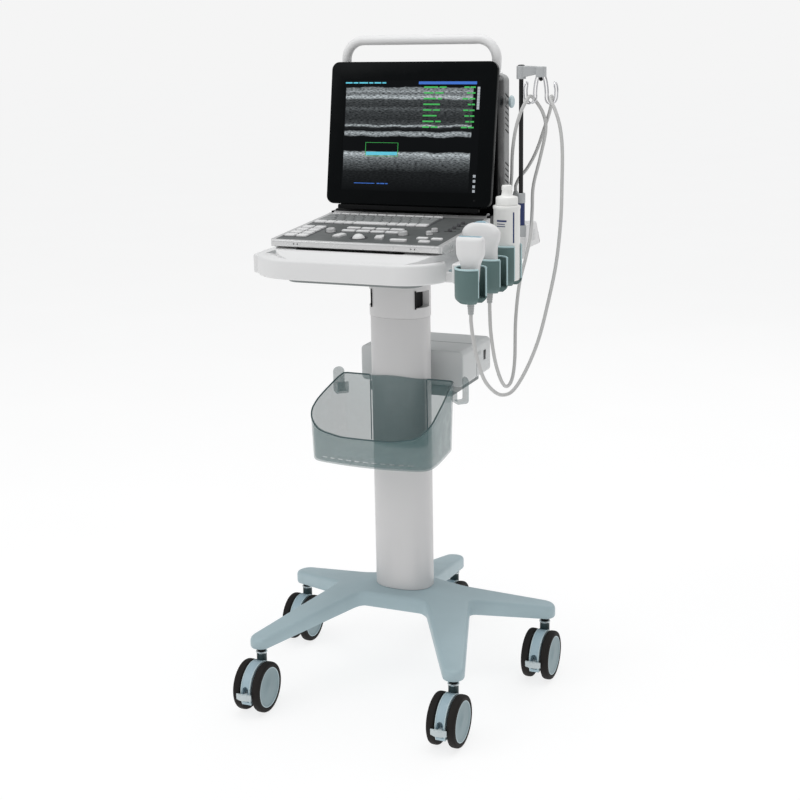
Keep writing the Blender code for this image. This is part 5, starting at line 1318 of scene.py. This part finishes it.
def make_key_deck():
    """Deck plate, dark beds and separate keycaps."""
    margin = GAP * 2
    plate = soft_block((-DECK_HALF + margin, DECK_NEAR + margin, -DECK_DEPTH + GAP),
                       (DECK_HALF - margin, DECK_FAR - margin, 0.0), 0.004, 0.0003)
    openings = [rod((*BALL_PLACE, 0.0), BALL_RADIUS + 0.0008, -0.01, 0.01, steps=BALL_STEPS)]
    for outline in moving_key_outlines().values():
        openings.append(slab(inset(outline, -0.0006), "z", -0.01, 0.01))
    plate = combine(plate, [join(openings)], "DIFFERENCE")
    deck_piece("deck_plate", plate, "deck_grey", "key_block")
    beds = [deck_well(-0.1685, 0.0885, -0.1305, -0.0425), deck_well(-0.1685, 0.0885, -0.0420, -0.0310),
            deck_well(-0.1685, -0.1155, -0.2645, -0.1615), deck_well(-0.0725, 0.0550, -0.2020, -0.1600)]
    deck_piece("key_beds", join(beds), "knob_grey")
    keys = typing_keys()
    for name, look, is_white in (("function_keycaps", "key_white", True),
                                 ("typing_keycaps", "key_smoke", False)):
        chosen = [key for key in keys if (key[2] in WHITE_ROWS) == is_white]
        deck_piece(name, join([keycap(key) for key in chosen]), look)
    deck_piece("panel_keycaps", join([keycap(outline, 0.0025) for outline in panel_keys()]), "key_white")
    bezel = ((BALL_RADIUS + 0.0009, 0.0), (BALL_RADIUS + 0.0012, 0.0016), (BALL_RADIUS + 0.0026, 0.0018),
             (BALL_RADIUS + 0.0042, 0.0010), (BALL_RADIUS + 0.0046, 0.0))
    bezel = turned(bezel, (*BALL_PLACE, 0.0), steps=BALL_STEPS, closed=True)
    deck_piece("trackball_bezel", bezel, "knob_grey")
    # dark strips along the slider slots: painted shade inside the slots
    slot_shades = []
    for index in range(SLIDER_COUNT):
        x, y = SLIDER_X, SLIDER_FIRST + SLIDER_PITCH * index
        slot_shades.append(soft_block((x - 0.0125, y - 0.0011, -0.0003), (x + 0.0125, y + 0.0011, 0.0004),
                                 0.001, 0.0002))
    deck_piece("slider_slot_painted_shade", join(slot_shades), "painted_gap_shade")
    marks = []
    for place in list(ENCODERS.values()) + list(KNOBS.values()):
        radius = 0.0128 if place in ENCODERS.values() else 0.0098
        ring = ((radius - 0.0006, -0.0003), (radius - 0.0006, 0.0004), (radius, 0.0004), (radius, -0.0003))
        marks.append(turned(ring, (*place, 0.0), steps=40, closed=True))
    deck_piece("dial_rings", join(marks), "knob_grey")


def fluted_dial(place, radius, height, flutes):
    """Dial with a fluted flank and a dished top."""
    steps = flutes * 6
    rings = []
    for scale, level, depth in ((1.0, GAP, 0.0), (1.0, 0.0012, 0.0), (0.97, 0.0016, 0.035),
                                (0.95, height - 0.0014, 0.035), (0.92, height - 0.0006, 0.02),
                                (0.84, height, 0.0), (0.60, height - 0.0004, 0.0),
                                (0.30, height - 0.0009, 0.0)):
        ring = []
        for index in range(steps):
            angle = 2 * math.pi * index / steps
            reach = radius * (scale - depth * (0.5 + 0.5 * math.cos(flutes * angle)))
            ring.append((place[0] + reach * math.cos(angle), place[1] + reach * math.sin(angle), level))
        rings.append(ring)
    return loft(rings)


def ball_profile(radius, steps, sink=0.0):
    """Half circle of (radius, height) pairs from the lowest point to the highest."""
    profile = []
    for index in range(steps + 1):
        angle = math.pi * index / steps - math.pi / 2
        reach = radius * math.cos(angle) if 0 < index < steps else 0.0
        profile.append((reach, radius * math.sin(angle) - sink))
    return profile


def make_moving_controls():
    """Trackball, travelling keys, rotary knobs and gain sliders."""
    ball = ball_profile(BALL_RADIUS, 28, BALL_SINK)
    body = on_deck(turned(ball, (*BALL_PLACE, 0.0), steps=BALL_STEPS))
    piece("trackball_sphere", body, "key_white", "trackball", "trackball")
    for name, outline in moving_key_outlines().items():
        body = on_deck(soft_slab(outline, "z", 0.0, KEY_RISE + 0.0008, 0.0007, 0.0))
        piece(name + "_cap", body, "key_white", name, name)
    dials = [("encoder_" + label, place, 0.0095, 0.0078, 18) for label, place in ENCODERS.items()]
    dials += [("knob_" + label, place, 0.0068, 0.0074, 14) for label, place in KNOBS.items()]
    for name, place, radius, height, flutes in dials:
        piece(name + "_dial", on_deck(fluted_dial(place, radius, height, flutes)), "dial_silver", name, name)
    for index in range(SLIDER_COUNT):
        x, y = SLIDER_X, SLIDER_FIRST + SLIDER_PITCH * index
        side = [(y - 0.0045, GAP), (y + 0.0045, GAP), (y + 0.0034, 0.0050), (y + 0.0010, 0.0042),
                (y - 0.0010, 0.0042), (y - 0.0034, 0.0050)]
        name = "gain_slider_%d" % (index + 1)
        grip = on_deck(soft_slab(side, "x", x - 0.003, x + 0.003, 0.0005))
        piece(name + "_grip", grip, "knob_grey", name, name)


# ------------------------------------------------------------------ display
def lcd_matrix():
    """Transform from the display's own axes (up, towards the viewer) to the machine's."""
    up = (0.0, math.sin(LCD_TILT), math.cos(LCD_TILT))
    towards = (0.0, -math.cos(LCD_TILT), math.sin(LCD_TILT))
    columns = Matrix(((1.0, 0.0, 0.0), up, towards)).transposed().to_4x4()
    return Matrix.Translation((0.0, LCD_FRONT_Y, LCD_BOTTOM_Z)) @ columns


def on_display(name, body, look, stands_for=()):
    """Piece drawn and kept in the display's own axes."""
    made = bpy.data.objects.new(name, piece_mesh(name, body, look))
    made.matrix_world = Matrix.Translation((0.0, SHIFT_Y, 0.0)) @ lcd_matrix()
    show(made)
    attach(made, "display")
    if stands_for:
        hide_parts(stands_for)
    return made


def screen_bar(left, right, low, high, slant=0.0):
    """Thin plate on the picture between shares of its width and height."""
    wide, tall = 2 * PANEL_HALF, PANEL_HIGH - PANEL_LOW
    x0, x1 = -PANEL_HALF + left * wide, -PANEL_HALF + right * wide
    y0, y1 = PANEL_LOW + low * tall, PANEL_LOW + high * tall
    outline = [(x0, y0), (x1, y0 + slant), (x1, y1 + slant), (x0, y1)]
    return slab(outline, "z", -0.00045, -0.00012)


def dashes(left, low, high, widths, space):
    """Row of short bars of given widths."""
    bars = []
    for width in widths:
        bars.append(screen_bar(left, left + width, low, high))
        left += width + space
    return bars


def make_display():
    """Display shell with its inset picture panel and the marks shown on it."""
    outline = rounded_rect(-LCD_HALF, LCD_HALF, 0.0, LCD_HEIGHT, (0.0165,) * 4, 12)
    shell = soft_slab(outline, "z", -LCD_DEPTH, 0.0, 0.0025)
    window = block((-PANEL_HALF - GAP, PANEL_LOW - GAP, -0.0015), (PANEL_HALF + GAP, PANEL_HIGH + GAP, 0.01))
    on_display("lcd_housing", combine(shell, [window], "DIFFERENCE"), "bezel_black", "lcd_shell")
    screen_material()
    panel = block((-PANEL_HALF, PANEL_LOW, -0.0012), (PANEL_HALF, PANEL_HIGH, -0.0005))
    on_display("lcd_picture", panel, "screen_picture", "lcd_panel")
    cyan = dashes(0.006, 0.967, 0.979, (0.05, 0.035, 0.065, 0.03, 0.05, 0.028), 0.009)
    on_display("screen_title_marks", join(cyan), "screen_cyan")
    blue = [screen_bar(0.55, 0.967, 0.960, 0.985), screen_bar(0.101, 0.256, 0.063, 0.069)]
    blue += dashes(0.273, 0.062, 0.071, (0.022, 0.03, 0.018), 0.006)
    on_display("screen_blue_marks", join(blue), "screen_blue")
    rows = []
    spans = ((0.10, 0.05), (0.07, 0.06), (0.09, 0.03), (0.12,), (0.06, 0.05), (0.10,), (0.08, 0.04),
             (0.05, 0.05))
    values = (0.08, 0.06, 0.09, 0.05, 0.08, 0.07, 0.06, 0.09)
    for index, (words, value) in enumerate(zip(spans, values)):
        low = 0.928 - 0.0505 * index
        rows += dashes(0.590, low, low + 0.013, words, 0.012)
        rows += dashes(0.960 - value, low, low + 0.013, (value * 0.45, value * 0.45), value * 0.1)
    on_display("screen_readout_marks", join(rows), "screen_green")
    frame_bars = [screen_bar(0.176, 0.420, 0.434, 0.437), screen_bar(0.176, 0.420, 0.313, 0.316),
                  screen_bar(0.176, 0.179, 0.313, 0.437), screen_bar(0.417, 0.420, 0.313, 0.437)]
    on_display("screen_region_box", join(frame_bars), "screen_green")
    on_display("screen_flow_band", screen_bar(0.182, 0.414, 0.322, 0.352, 0.0006), "screen_cyan")
    greys = [screen_bar(0.974, 0.992, 0.740 + 0.025 * step, 0.763 + 0.025 * step) for step in range(8)]
    greys += [screen_bar(0.974, 0.992, level - 0.012, level + 0.012)
              for level in (0.153, 0.109, 0.060, 0.020)]
    on_display("screen_grey_marks", join(greys), "screen_grey")
    lip = soft_slab(rounded_rect(-LCD_HALF + 0.026, LCD_HALF - 0.026, -0.0105, -0.0008, (0.003,) * 4), "z",
                    -LCD_DEPTH + 0.001, -0.004, 0.001)
    on_display("lcd_lower_strip", lip, "hinge_black")
    button = turned(((0.0, -0.0004), (0.0026, -0.0004), (0.0026, 0.0002), (0.0022, 0.0005), (0.0, 0.0005)),
                    (0.150, 0.0135, 0.0), steps=24)
    on_display("lcd_status_lamp", button, "hinge_black")


# ------------------------------------------------------------------ main unit
def vent_slots(side):
    """Diagonal slots in one side wall of the rear shell, each with a dark plate at its floor that paints the
    shade inside.
    """
    slots, shade_plates = [], []
    for first, count in ((1.168, 7), (1.064, 4)):
        for index in range(count):
            place = Matrix.Translation((0.0, 0.169, first + index * VENT_PITCH))
            place = place @ Matrix.Rotation(VENT_TILT, 4, "X")
            ends = sided(side, UNIT_HALF - 0.0025, UNIT_HALF + 0.01)
            outline = rounded_rect(-0.0125, 0.0125, -0.0016, 0.0016, (0.0015,) * 4, 4)
            slots.append(turn_and_move(slab(outline, "x", *ends), place))
            # dark plate at the slot's floor: painted shade inside the vent
            ends = sided(side, UNIT_HALF - 0.0027, UNIT_HALF - 0.0017)
            shade_plates.append(turn_and_move(slab(outline, "x", *ends), place))
    return slots, shade_plates


def make_unit():
    """Main unit in two shells, front and rear, with slots in both side walls."""
    outline = rounded_rect(-UNIT_HALF, UNIT_HALF, DOCK_Z + GAP, UNIT_TOP, (0.004, 0.004, 0.014, 0.014))
    front = soft_slab(outline, "y", UNIT_FRONT, UNIT_SEAM - GAP, 0.003)
    shelf = block((-0.170, 0.0965, DOCK_Z + 2 * GAP), (0.170, UNIT_FRONT + 0.006, 0.974))
    cheeks = []
    for side in (-1, 1):
        ends = sided(side, 0.1719, 0.1799)
        cheeks.append(block((ends[0], CHEEK_FRONT, DOCK_Z + 2 * GAP), (ends[1], UNIT_FRONT + 0.006, 1.004),
                            0.0, 0.0008, "x"))
    piece("unit_front_case", combine(front, [shelf] + cheeks, "UNION"), "hinge_black", "unit_front_shell")
    rear = soft_slab(outline, "y", UNIT_SEAM, UNIT_REAR, 0.006)
    slots, shade_plates = [], []
    for side in (-1, 1):
        cut, side_shade_plates = vent_slots(side)
        slots += cut
        shade_plates += side_shade_plates
    for index in range(14):
        x = -0.0845 + 0.013 * index
        slots.append(soft_block((x - 0.0022, UNIT_REAR - 0.0015, 1.185),
                                (x + 0.0022, UNIT_REAR + 0.01, 1.235), 0.002, 0.0, "y"))
    piece("unit_rear_case", combine(rear, [join(slots)], "DIFFERENCE"), "unit_grey", "unit_rear_shell")
    piece("vent_painted_shade", join(shade_plates), "painted_gap_shade")
    feet = []
    for x in (-0.150, 0.150):
        for z in (1.000, 1.262):
            profile = ((0.0, UNIT_REAR - 0.001), (0.0042, UNIT_REAR - 0.001), (0.0042, UNIT_REAR + 0.0006),
                       (0.0034, UNIT_REAR + 0.0011), (0.0014, UNIT_REAR + 0.0009), (0.0, UNIT_REAR + 0.0006))
            feet.append(turned(profile, (x, 0.0, z), "y", 20))
    piece("rear_screws", join(feet), "clamp_grey")


def make_handle():
    """Carrying handle: round bar bent down to both top corners of the unit."""
    foot = UNIT_TOP + GAP
    path = [(-HANDLE_HALF, foot), (-HANDLE_HALF, foot + 0.006), (-HANDLE_HALF, foot + 0.014)]
    path += arc(-HANDLE_HALF + HANDLE_BEND, HANDLE_TOP - HANDLE_BEND, HANDLE_BEND, 180, 90, 16)
    path += [(-0.06, HANDLE_TOP), (0.0, HANDLE_TOP), (0.06, HANDLE_TOP)]
    path += arc(HANDLE_HALF - HANDLE_BEND, HANDLE_TOP - HANDLE_BEND, HANDLE_BEND, 90, 0, 16)
    path += [(HANDLE_HALF, foot + 0.014), (HANDLE_HALF, foot + 0.006), (HANDLE_HALF, foot)]
    radii = [0.0075, 0.0080, 0.0092] + [HANDLE_RADIUS] * (len(path) - 6) + [0.0092, 0.0080, 0.0075]
    bar = swept([(a, HANDLE_Y, b) for a, b in path], radii, 32)
    piece("handle_bar", bar, "tray_white", "carry_handle")
    collars = []
    for side in (-1, 1):
        profile = ((0.0, foot - 0.0002), (0.0125, foot - 0.0002), (0.0125, foot + 0.003),
                   (0.0112, foot + 0.0045), (0.0086, foot + 0.0052), (0.0, foot + 0.0052))
        collars.append(turned(profile, (side * HANDLE_HALF, HANDLE_Y, 0.0), steps=36))
    piece("handle_collars", join(collars), "case_silver")


def make_peg():
    """Cord peg: short shaft with a round flange on the unit's right wall."""
    start = UNIT_HALF + GAP
    shaft = ((0.0, start), (0.0078, start), (0.0070, start + 0.0015), (0.006, start + 0.003),
             (0.006, start + 0.009), (0.0, start + 0.009))
    piece("cable_peg_shaft", turned(shaft, (0.0, PEG_Y, PEG_Z), "x", 40), "unit_grey", "cable_peg")
    flange = ((0.0, start + 0.008), (0.0112, start + 0.008), (0.0125, start + 0.0092),
              (0.0127, start + 0.0112), (0.0123, start + 0.0130), (0.0108, start + 0.0142),
              (0.0060, start + 0.0136), (0.0, start + 0.0132))
    piece("cable_peg_flange", turned(flange, (0.0, PEG_Y, PEG_Z), "x", 40), "rim_pale")


def make_rear_module():
    """Rear module across the back of the tray, its rear wall leaning forwards."""
    side = [(0.192, 0.919), (0.288, 0.919), (0.290, 0.9205), (0.2895, 0.9225), (0.286, 0.930), (0.266, 0.966),
            (0.2635, 0.9695), (0.260, 0.971), (0.197, 0.971), (0.1935, 0.9695), (0.192, 0.966)]
    body = soft_slab(side, "x", -0.215, 0.215, 0.004)
    cuts = []
    for index in range(5):
        y = 0.214 + index * 0.009
        cuts.append(soft_block((0.2135, y - 0.0018, 0.932), (0.22, y + 0.0018, 0.956), 0.0015, 0.0, "x"))
    piece("rear_module_case", combine(body, [join(cuts)], "DIFFERENCE"), "tray_white", "rear_module")
    seam = block((-0.2146, 0.1935, 0.9440), (0.2146, 0.2786, 0.9450))
    piece("rear_module_seam", seam, "hub_grey")


# ------------------------------------------------------------------ pole
def make_pole():
    """Hook pole: collars and sleeve at the rail, rod, gusset arm and the double wire hook."""
    centre = (POLE_X, POLE_Y, 0.0)
    socket = ((0.0, 0.915), (0.0108, 0.915), (SOCKET_RADIUS, 0.9162), (SOCKET_RADIUS, 0.9585),
              (0.0112, 0.9600), (0.0, 0.9600))
    piece("pole_socket_cup", turned(socket, centre, steps=48), "tray_white", "pole_socket")
    low_collar = ((0.0, 0.9602), (0.0108, 0.9602), (0.0108, 0.9820), (0.0100, 0.9832), (0.0, 0.9832))
    sleeve = ((0.0, 0.9832), (0.0080, 0.9832), (0.0080, 1.0288), (0.0, 1.0288))
    high_collar = ((0.0, 1.0288), (0.0084, 1.0288), (0.0090, 1.0296), (0.0090, 1.0480), (0.0082, 1.0490),
                   (0.0, 1.0490))
    collars = [turned(profile, centre, steps=40) for profile in (low_collar, high_collar)]
    piece("pole_collars", join(collars), "clamp_grey")
    piece("pole_sleeve", turned(sleeve, centre, steps=40), "navy")
    top = 1.2915
    bar = ((0.0, 0.930), (ROD_RADIUS, 0.930), (ROD_RADIUS, top - 0.001), (ROD_RADIUS - 0.001, top),
           (0.0, top))
    piece("hook_pole_rod", turned(bar, centre, steps=40), "rod_black", "hook_pole")
    clamp = soft_slab(circle(POLE_X, POLE_Y, 0.0095, 40), "z", ARM_BOTTOM - 0.002, ARM_TOP, 0.0015)
    gusset_side = [(POLE_X + 0.004, ARM_BOTTOM + 0.001), (0.2640, 1.2850), (0.2660, 1.2870), (0.2660, 1.2990),
                   (0.2640, ARM_TOP - 0.001), (POLE_X + 0.004, ARM_TOP)]
    gusset = soft_slab(gusset_side, "y", 0.0975, 0.1105, 0.0015)
    piece("pole_arm_gusset", combine(clamp, [gusset], "UNION"), "clamp_grey", "pole_arm")
    cap = ((0.0, ARM_TOP - 0.0004), (0.0070, ARM_TOP - 0.0004), (0.0066, ARM_TOP + 0.0014),
           (0.0040, ARM_TOP + 0.0022), (0.0, ARM_TOP + 0.0024))
    piece("pole_cap", turned(cap, centre, steps=36), "rod_black")
    knuckle = soft_block((0.2665, HOOK_Y - 0.011, 1.2800), (0.2835, HOOK_Y + 0.011, 1.3005), 0.003, 0.0015)
    piece("hook_knuckle", knuckle, "clamp_grey")
    loops = [hook_loop(side) for side in (-1, 1)]
    piece("wire_hook_loops", join(loops), "chrome", "wire_hook")
    piece("hook_ball", turned(ball_profile(0.0044, 12), (HOOK_X, HOOK_Y, 1.2765), steps=28), "rod_black")


def hook_loop(side):
    """One side of the double hook: two bent wires joined round the tip."""
    half = ((0.0060, 1.284), (0.0100, 1.268), (0.0120, 1.250), (0.0122, 1.2375), (0.0155, 1.2310),
            (0.0215, 1.2285), (0.0275, 1.2310), (0.0312, 1.2390), (0.0318, 1.2540), (0.0305, 1.2640))
    front = [(HOOK_X + side * reach, HOOK_Y - HOOK_SPREAD, level) for reach, level in half]
    middle = [(HOOK_X + side * 0.0295, HOOK_Y - HOOK_SPREAD * 0.6, 1.2690),
              (HOOK_X + side * 0.0290, HOOK_Y, 1.2705),
              (HOOK_X + side * 0.0295, HOOK_Y + HOOK_SPREAD * 0.6, 1.2690)]
    back = [(a, 2 * HOOK_Y - b, level) for a, b, level in front[::-1]]
    path = smooth_path(front + middle + back, 110)
    return swept(path, [WIRE_RADIUS] * len(path), 14)


# ------------------------------------------------------------------ probes and bottle
def tapered(sections):
    """Body through oval sections given as centre x, centre y, height, half x, half y, power."""
    rings = []
    for centre_x, centre_y, level, half_x, half_y, power in fair(sections, 4):
        rings.append([(a, b, level) for a, b in oval(centre_x, centre_y, half_x, half_y, power, PROBE_STEPS)])
    return loft(rings)


def relief_body(x, y, low):
    """Ribbed strain relief under a probe, wide end at the top."""
    high, wide, narrow, ribs = 0.8945, 0.0075, 0.0046, 7
    profile = [(0.0, low)]
    for index in range(ribs):
        for share, swell in ((0.0, 0.0), (0.25, 0.0005), (0.65, 0.0005), (0.9, 0.0)):
            rise = (index + share) / ribs
            profile.append((narrow + (wide - narrow) * rise + swell, low + (high - low) * rise))
    return turned(profile + [(wide, high), (0.0, high)], (x, y, 0.0), steps=28)


def make_probes():
    """Linear and convex probes standing head up in their cups."""
    x, y, low = LINEAR_EXIT
    linear = ((0.8940, 0.0080, 0.0078, 2), (0.8958, 0.0118, 0.0100, 2.1), (0.900, 0.0130, 0.0108, 2.2),
              (0.930, 0.0165, 0.0120, 2.4), (0.955, 0.0188, 0.0122, 2.6), (0.968, 0.0238, 0.0125, 3.0),
              (0.976, 0.0265, 0.0126, 3.4), (0.990, 0.0270, 0.0124, 3.8), (1.0000, 0.0268, 0.0118, 4.0),
              (1.0040, 0.0262, 0.0100, 4.0), (1.0066, 0.0250, 0.0078, 4.0), (1.0076, 0.0240, 0.0060, 4.0))
    linear = [(x, y) + section for section in linear]
    piece("linear_probe_handle", tapered(linear), "tray_white", "linear_probe")
    lens = soft_block((x - 0.0215, y - 0.0050, 1.0050), (x + 0.0215, y + 0.0050, 1.0086), 0.0015, 0.0010)
    piece("linear_probe_lens", lens, "lens_blue")
    piece("linear_probe_relief", relief_body(x, y, low + GAP), "relief")
    x, y, low = CONVEX_EXIT
    convex = ((x + 0.001, y, 0.8940, 0.0078, 0.0076, 2), (x + 0.001, y, 0.8958, 0.0118, 0.0104, 2.1),
              (x + 0.001, y, 0.900, 0.0127, 0.0112, 2.2), (x + 0.001, y, 0.930, 0.0150, 0.0125, 2.4),
              (x, y, 0.948, 0.0160, 0.0130, 2.4), (x - 0.0025, y, 0.956, 0.0180, 0.0132, 2.6),
              (x - 0.0095, y, 0.971, 0.0255, 0.0140, 2.8), (x - 0.0150, y, 0.987, 0.0355, 0.0145, 3.1),
              (x - 0.0165, y, 0.997, 0.0378, 0.0142, 3.1), (x - 0.0168, y, 1.0030, 0.0366, 0.0134, 2.9),
              (x - 0.0171, y, 1.0080, 0.0330, 0.0122, 2.7), (x - 0.0174, y, 1.0130, 0.0270, 0.0106, 2.5),
              (x - 0.0175, y, 1.0163, 0.0195, 0.0088, 2.3), (x - 0.0175, y, 1.0180, 0.0115, 0.0070, 2.2))
    piece("convex_probe_handle", tapered(convex), "tray_white", "convex_probe")
    outer = [(x - 0.0175 + 0.0335 * math.sin(angle), 0.9825 + 0.0368 * math.cos(angle) ** 0.9)
             for angle in [math.radians(-62 + 4 * index) for index in range(32)]]
    inner = [(a, b - 0.004) for a, b in outer[::-1]]
    strip = soft_slab(outer + inner, "y", y - 0.0056, y + 0.0056, 0.0008)
    piece("convex_probe_lens", strip, "lens_blue")
    piece("convex_probe_relief", relief_body(x, y, low + GAP), "relief")


def make_bottle():
    """Gel bottle in its cup, with plain bars in place of its label, a shoulder ring and a screwed cap."""
    base = CUP_FLOOR + GAP
    centre = (CUP_X, BOTTLE_CUP_Y, 0.0)
    wall = [(0.0, base), (0.0225, base), (0.0248, base + 0.0012), (0.0258, base + 0.004),
            (0.0260, base + 0.010), (0.0260, 1.0340), (0.0266, 1.0348), (0.0270, 1.0362), (0.0270, 1.0392),
            (0.0264, 1.0406), (0.0240, 1.0412), (0.0235, BOTTLE_TOP), (0.0, BOTTLE_TOP)]
    piece("gel_bottle_body", turned(wall, centre, steps=64), "bottle_white", "gel_bottle", "gel_bottle")
    stripes = []
    bands = [(-44, -37, 0.970, 1.030)]
    bands += [(-118, -72, 1.0115, 1.0150), (-118, -80, 1.0065, 1.0080), (-118, -78, 1.0020, 1.0035)]
    for start, end, low, high in bands:
        ring = arc(CUP_X, BOTTLE_CUP_Y, 0.0262, start, end, 10)
        ring += arc(CUP_X, BOTTLE_CUP_Y, 0.0257, end, start, 10)
        stripes.append(slab(ring, "z", low, high))
    piece("gel_bottle_stripes", join(stripes), "navy", (), "gel_bottle")
    low = BOTTLE_TOP + GAP
    cap = [(0.0, low), (0.0214, low), (0.0218, low + 0.0006), (0.0216, low + 0.0140), (0.0206, low + 0.0156),
           (0.0180, low + 0.0164), (0.0130, low + 0.0172), (0.0112, low + 0.0186), (0.0098, low + 0.0240),
           (0.0094, low + 0.0280), (0.0100, low + 0.0284), (0.0102, low + 0.0300), (0.0100, low + 0.0360),
           (0.0094, low + 0.0374), (0.0080, low + 0.0380), (0.0, low + 0.0380)]
    piece("bottle_nozzle_cap", turned(cap, centre, steps=48), "cap_white", "bottle_cap", "bottle_cap")


# ------------------------------------------------------------------ plugs and cords
def make_plugs():
    """The two probe plugs side by side on the unit's right wall."""
    made = {}
    for name, place in (("linear_plug", LINEAR_PLUG_EXIT), ("convex_plug", CONVEX_PLUG_EXIT)):
        x, y, top = place
        body = soft_block((UNIT_HALF + GAP, y - 0.0115, top - 0.026), (x + 0.009, y + 0.0115, top - 0.010),
                          0.003, 0.0020)
        made[name] = piece(name + "_body", body, "clamp_grey", name)
        relief = ((0.0, top - 0.0105), (0.0064, top - 0.0105), (0.0060, top - 0.007), (0.0052, top - 0.003),
                  (0.0044, top - GAP), (0.0, top - GAP))
        made[name + "_relief"] = piece(name + "_relief", turned(relief, (x, y, 0.0), steps=28), "relief")
    return made


def cord_line(start, route, end):
    """Centreline of a cord, a short straight length at either end."""
    first = (start[0], start[1], start[2] - CORD_LEAD)
    last = (end[0], end[1], end[2] + CORD_LEAD)
    return [Vector(start)] + smooth_path((first,) + route + (last,), 190) + [Vector(end)]


def make_cord(name, start, route, end):
    """Probe cord: round curve along its route."""
    curve = bpy.data.curves.new(name + "_run", "CURVE")
    curve.dimensions = "3D"
    curve.bevel_depth = CORD_RADIUS
    curve.bevel_resolution = 4
    curve.use_fill_caps = True
    line = cord_line(start, route, end)
    spline = curve.splines.new("POLY")
    spline.points.add(len(line) - 1)
    for target, point in zip(spline.points, line):
        target.co = (point.x, point.y, point.z, 1.0)
    spline.use_smooth = True
    curve.materials.append(finish("cord"))
    made = bpy.data.objects.new(name + "_run", curve)
    made.location = (0.0, SHIFT_Y, 0.0)
    show(made)
    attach(made, "trolley")
    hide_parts(name)


# ------------------------------------------------------------------ stage, light and camera
CAMERA_PLACE = (1.18519, -2.74135, 1.39352)
CAMERA_RIGHT = (0.91961063, 0.39242284, -0.01790515)
CAMERA_UP = (-0.08264555, 0.23783031, 0.9677843)
CAMERA_AHEAD = (-0.38403905, 0.88850496, -0.25114328)
CAMERA_LENS = 65.8
LAMPS = (
    ("key", (-2.4, -2.2, 3.2), (0.0, 0.0, 0.75), 2.6, 30.0),
    ("overhead", (0.2, -0.2, 3.9), (0.0, 0.0, 0.70), 2.6, 48.0),
    ("rear", (0.8, 2.8, 2.6), (0.0, 0.0, 0.70), 2.4, 14.0),
)
BACKDROP = 0.913
FLOOR_SIZE = 60.0
FLOOR_GLOW = 0.79


def make_stage():
    """Plain pale floor under the casters."""
    mesh = bpy.data.meshes.new("floor")
    half = FLOOR_SIZE / 2
    mesh.from_pydata([(-half, -half, 0.0), (half, -half, 0.0), (half, half, 0.0), (-half, half, 0.0)], [],
                     [(0, 1, 2, 3)])
    material, tree, shader, where = new_material("floor_paper")
    broad = ranged(tree, noise(tree, where, 2.0), 0.0, 1.0)
    feed(tree, shader, Base_Color=blended(tree, broad, (0.24, 0.24, 0.24, 1.0), (0.25, 0.25, 0.25, 1.0)),
         Roughness=0.9, Specular_IOR_Level=0.0)
    feed(tree, shader, Emission_Color=(1.0, 1.0, 1.0, 1.0), Emission_Strength=FLOOR_GLOW)
    mesh.materials.append(material)
    floor = bpy.data.objects.new("floor", mesh)
    show(floor)


def make_world():
    """Even white surround, a little dimmer as a light than as a backdrop."""
    world = bpy.data.worlds.new("studio")
    world.use_nodes = True
    tree = world.node_tree
    tree.nodes.clear()
    seen = feed(tree, node(tree, "Background"), Color=(1.0, 1.0, 1.0, 1.0), Strength=BACKDROP)
    lit = feed(tree, node(tree, "Background"), Color=(0.98, 0.99, 1.0, 1.0), Strength=0.50)
    path = node(tree, "LightPath")
    mix = node(tree, "MixShader")
    tree.links.new(path.outputs["Is Camera Ray"], mix.inputs[0])
    tree.links.new(lit.outputs[0], mix.inputs[1])
    tree.links.new(seen.outputs[0], mix.inputs[2])
    out = node(tree, "OutputWorld")
    tree.links.new(mix.outputs[0], out.inputs["Surface"])
    bpy.context.scene.world = world


def make_lamps():
    """Three large soft lamps."""
    for name, place, target, size, power in LAMPS:
        light = bpy.data.lights.new(name, "AREA")
        light.shape = "DISK"
        light.size = size
        light.energy = power
        lamp = bpy.data.objects.new(name, light)
        lamp.location = place
        lamp.rotation_euler = (Vector(target) - Vector(place)).to_track_quat("-Z", "Y").to_euler()
        show(lamp)


def make_camera():
    """Camera where the product picture was taken from."""
    view = bpy.data.cameras.new("camera")
    view.lens = CAMERA_LENS
    view.sensor_width = 36.0
    view.clip_end = 100.0
    camera = bpy.data.objects.new("camera", view)
    columns = (CAMERA_RIGHT, CAMERA_UP, tuple(-value for value in CAMERA_AHEAD))
    place = Matrix.Translation((CAMERA_PLACE[0], CAMERA_PLACE[1] + SHIFT_Y, CAMERA_PLACE[2]))
    camera.matrix_world = place @ Matrix(columns).transposed().to_4x4()
    show(camera)
    bpy.context.scene.camera = camera


make_stage()
make_world()
make_lamps()
make_camera()
make_base()
make_casters()
make_column()
make_basket()
make_power_box()
make_tray()
make_cups()
make_keyboard_case()
make_key_deck()
make_moving_controls()
make_display()
make_unit()
make_handle()
make_peg()
make_rear_module()
make_pole()
make_probes()
make_bottle()
PLUGS = make_plugs()
make_cord("linear_cord", LINEAR_EXIT, LINEAR_ROUTE, LINEAR_PLUG_EXIT)
make_cord("convex_cord", CONVEX_EXIT, CONVEX_ROUTE, CONVEX_PLUG_EXIT)
bpy.context.scene.view_settings.view_transform = "Standard"
